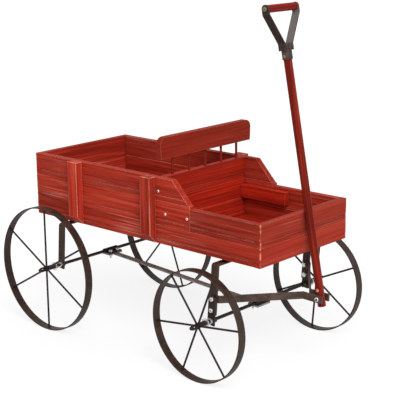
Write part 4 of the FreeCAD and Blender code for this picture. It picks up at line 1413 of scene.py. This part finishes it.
@dataclass
class SpokedWheel:
    """One hoop wheel with its welds."""

    end: str
    word: str
    side: int
    phase: float
    track_half: float = 163 * MM
    rim_thick: float = 2.2 * MM
    spokes: int = 6
    spoke_radius: float = 1.8 * MM
    hub_radius: float = 4.5 * MM
    bead_radius: float = 0.8 * MM
    off_spoke: float = 0.2 * MM
    off_rim: float = 0.2 * MM
    off_hub: float = 0.3 * MM

    def build(self) -> None:
        """Makes the weld beads and gives rim and spokes their finishes."""
        name = f"{self.end}_{self.word}"
        dress(RIM_PAINT.material(), f"{name}_rim")
        dress(SPOKE_PAINT.material(), f"{name}_hub_and_spokes")
        centre = Spot.on_axle(self.end, self.side, self.track_half).where
        inside = centre.z - self.rim_thick
        bead = HARDWARE.weld("weld_pattern", self.spoke_radius + self.off_spoke, self.bead_radius)
        beads = []
        for number in range(self.spokes):
            angle = math.radians(self.phase + 360 / self.spokes * number)
            outward = Vector((math.cos(angle), 0, math.sin(angle)))
            for reach in (inside - self.off_rim, self.hub_radius + self.off_hub):
                spot = Spot(centre + outward * reach, outward)
                beads.append(Bench.copy(bead, "bead", spot.matrix(number)))
        add_piece(Bench.join(f"{name}_welds", beads), f"{name}_wheel", SPOKE_PAINT.material())
        Bench.discard(bead)


@dataclass
class Drawbar:
    """The two arms and the bolt that the handle swings on."""

    half: float = 11 * MM

    def build(self) -> None:
        """Makes the pivot bolt and gives the arms their finish."""
        dress(ARM_PAINT.material(), "left_drawbar_arm", "right_drawbar_arm")
        patterns = HARDWARE.bolt_set(2 * self.half, ZINC, DARK_NUT, corners=4)
        head = Spot(SIZES.pivot + Vector((0, -self.half, 0)), Vector((0, -1, 0)))
        parts = HARDWARE.put_bolt(patterns, head, 2 * self.half, (0.3, 0.4))
        piece = Bench.join("recessed_pivot_bolt", parts)
        add_piece(piece, "cart")
        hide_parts("pivot_bolt")
        Bench.discard(*patterns)


@dataclass
class PullHandle:
    """Pole, socket, grip straps and grip."""

    pole_radius: float = 7 * MM
    chip_at: float = 14 * MM
    socket_radius: float = 8.7 * MM
    socket_screw_at: float = 404 * MM
    socket_screw_radius: float = 3.2 * MM
    socket_screw_high: float = 1.8 * MM
    socket_screw_sunk: float = 0.3 * MM
    grip_at: float = 483 * MM
    grip_outer: float = 40 * MM

    def build(self) -> None:
        """Makes the handle's hardware and gives wood and steel their finishes."""
        chip = SIZES.on_pole(self.chip_at) + Vector((0, -self.pole_radius, 0))
        dress(replace(HANDLE_WOOD, chip=tuple(chip)).material(Grain.ALONG_HANDLE), "handle_pole")
        dress(GRIP_WOOD.material(Grain.CROSSWISE, 1), "grip")
        dress(SOCKET_PAINT.material(), "grip_socket")
        dress(DARK_STRAP_PAINT.material(), "right_grip_strap")
        dress(LIT_FACE_STRAP_PAINT.material(), "left_grip_strap")
        self.socket_screw()
        self.grip_bolt()

    def socket_screw(self) -> None:
        """Drives the screw that holds the pole in its socket."""
        pattern = HARDWARE.cross_screw("socket_screw_pattern", self.socket_screw_radius,
                                       self.socket_screw_high)
        right = Vector((0, -1, 0))
        where = SIZES.on_pole(self.socket_screw_at) + right * (self.socket_radius - self.socket_screw_sunk)
        head = Bench.copy(pattern, "socket_screw_head", Spot(where, right).matrix(0.5))
        add_piece(head, "handle", DULLED_BRASS.material())
        Bench.discard(pattern)

    def grip_bolt(self) -> None:
        """Puts the long bolt through straps and grip, with its thread only where it comes out."""
        patterns = HARDWARE.bolt_set(0, DULLED_BRASS, DULLED_BRASS)
        right, across = Vector((0, -1, 0)), 2 * self.grip_outer
        head = Spot(SIZES.on_pole(self.grip_at) + right * self.grip_outer, right)
        parts = HARDWARE.put_bolt(patterns, head, across, (0.2, 0.5), hidden=across)
        piece = Bench.join("recessed_grip_bolt", parts)
        add_piece(piece, "handle")
        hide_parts("grip_bolt")
        Bench.discard(*patterns)


@dataclass
class Studio:
    """White floor and backdrop, soft light, and the camera."""

    camera_at: tuple[float, float, float] = (1.381617, -1.471944, 0.762974)
    camera_right: tuple[float, float, float] = (0.74014335, 0.67237836, -0.00975509)
    camera_up: tuple[float, float, float] = (-0.15881144, 0.18887674, 0.96907405)
    lens: float = 103.1
    sensor: float = 36
    fill: float = 0.5
    key_power: float = 74.0
    key_size: float = 1.5
    key_at: tuple[float, float, float] = (1.9, -1.35, 2.2)
    key_aim: tuple[float, float, float] = (0, 0, 0.2)
    floor_size: float = 40
    floor_drop: float = 0.4 * MM
    floor_tone: float = 0.6
    floor_glow: tuple[float, float] = (1.2, 1.4)
    glow_rises: tuple[float, float] = (0.25, 0.9)
    floor_shadow: float = 0.3

    def build(self) -> None:
        """Sets up world, floor, lamp, camera and view."""
        self.build_world()
        self.build_floor()
        self.build_key()
        self.build_camera()
        bpy.context.scene.view_settings.view_transform = "Standard"

    @staticmethod
    def show(nodes: Nodes, output: bpy.types.Node, lit: bpy.types.Node, shown: bpy.types.Node) -> None:
        """Lets one shader light the cart, and another be seen.

        Args:
            nodes: the nodes of the world or the floor.
            output: their output node.
            lit: what the cart is lit by.
            shown: what the camera sees, directly or by way of metal or glass.
        """
        path = nodes.add("ShaderNodeLightPath").outputs
        mirrored = nodes.sum("MAXIMUM", path["Is Glossy Ray"], path["Is Transmission Ray"])
        seen = nodes.sum("MAXIMUM", path["Is Camera Ray"], mirrored)
        mix = nodes.add("ShaderNodeMixShader", {0: seen, 1: lit.outputs[0], 2: shown.outputs[0]})
        nodes.feed(output.inputs["Surface"], mix.outputs[0])

    def build_world(self) -> None:
        """Makes a white world that lights at a plain level."""
        world = bpy.data.worlds.new("studio")
        world.use_nodes = True
        bpy.context.scene.world = world
        nodes = Nodes(world.node_tree)
        lit = world.node_tree.nodes["Background"]
        lit.inputs["Color"].default_value = (1, 1, 1, 1)
        lit.inputs["Strength"].default_value = self.fill
        shown = nodes.add("ShaderNodeBackground", {"Color": (1, 1, 1, 1), "Strength": 1.0})
        self.show(nodes, world.node_tree.nodes["World Output"], lit, shown)

    def build_floor(self) -> None:
        """Makes a plain white floor that runs out of sight and keeps the cart's shadow."""
        Bench.clear()
        bpy.ops.mesh.primitive_plane_add(size=self.floor_size, location=(0, 0, -self.floor_drop))
        floor = Bench.keep("floor")
        surface = Surface.start("floor_white")
        nodes, shader = surface.nodes, surface.shader
        surface.set("Base Color", (self.floor_tone, self.floor_tone, self.floor_tone, 1))
        surface.set("Roughness", 0.9)
        surface.set("Specular IOR Level", 0.0)
        away = nodes.add("ShaderNodeVectorMath", {0: surface.coordinates}, operation="LENGTH")
        strength = nodes.between(nodes.spread(away.outputs["Value"], *self.glow_rises), *self.floor_glow)
        glow = nodes.add("ShaderNodeEmission", {"Color": (1, 1, 1, 1), "Strength": strength})
        shown = nodes.add("ShaderNodeMixShader", {0: self.floor_shadow, 1: glow.outputs[0],
                                                  2: shader.outputs[0]})
        self.show(nodes, surface.material.node_tree.nodes["Material Output"], shader, shown)
        floor.data.materials.append(surface.material)

    def build_key(self) -> None:
        """Hangs one broad lamp above the front corner, to the right."""
        lamp = bpy.data.lights.new("key", "AREA")
        lamp.shape = "DISK"
        lamp.size = self.key_size
        lamp.energy = self.key_power
        key = bpy.data.objects.new("key", lamp)
        key.location = self.key_at
        aim = Vector(self.key_aim) - Vector(self.key_at)
        key.rotation_euler = aim.to_track_quat("-Z", "Y").to_euler()
        bpy.context.scene.collection.objects.link(key)

    def build_camera(self) -> None:
        """Sets up the camera of the photograph."""
        right, up = Vector(self.camera_right), Vector(self.camera_up)
        facing = Matrix((right, up, right.cross(up))).transposed().to_4x4()
        data = bpy.data.cameras.new("camera")
        data.lens = self.lens
        data.sensor_width = self.sensor
        camera = bpy.data.objects.new("camera", data)
        camera.matrix_world = Matrix.Translation(self.camera_at) @ facing
        bpy.context.scene.collection.objects.link(camera)
        bpy.context.scene.camera = camera


def main() -> None:
    """Builds the sub-assemblies in order, and the studio around them."""
    logging.basicConfig(level=logging.INFO, format="%(message)s")
    EFFECTS.build()
    first_spokes = (50, 30, 25, 7.5)
    wheels = [SpokedWheel(*corner, phase) for corner, phase in zip(CORNERS, first_spokes)]
    for assembly in (PlanterBox(), Undercarriage(), *wheels, Drawbar(), PullHandle(), Studio()):
        assembly.build()
        LOG.info("%s done", type(assembly).__name__)


if __name__ == "__main__":
    main()
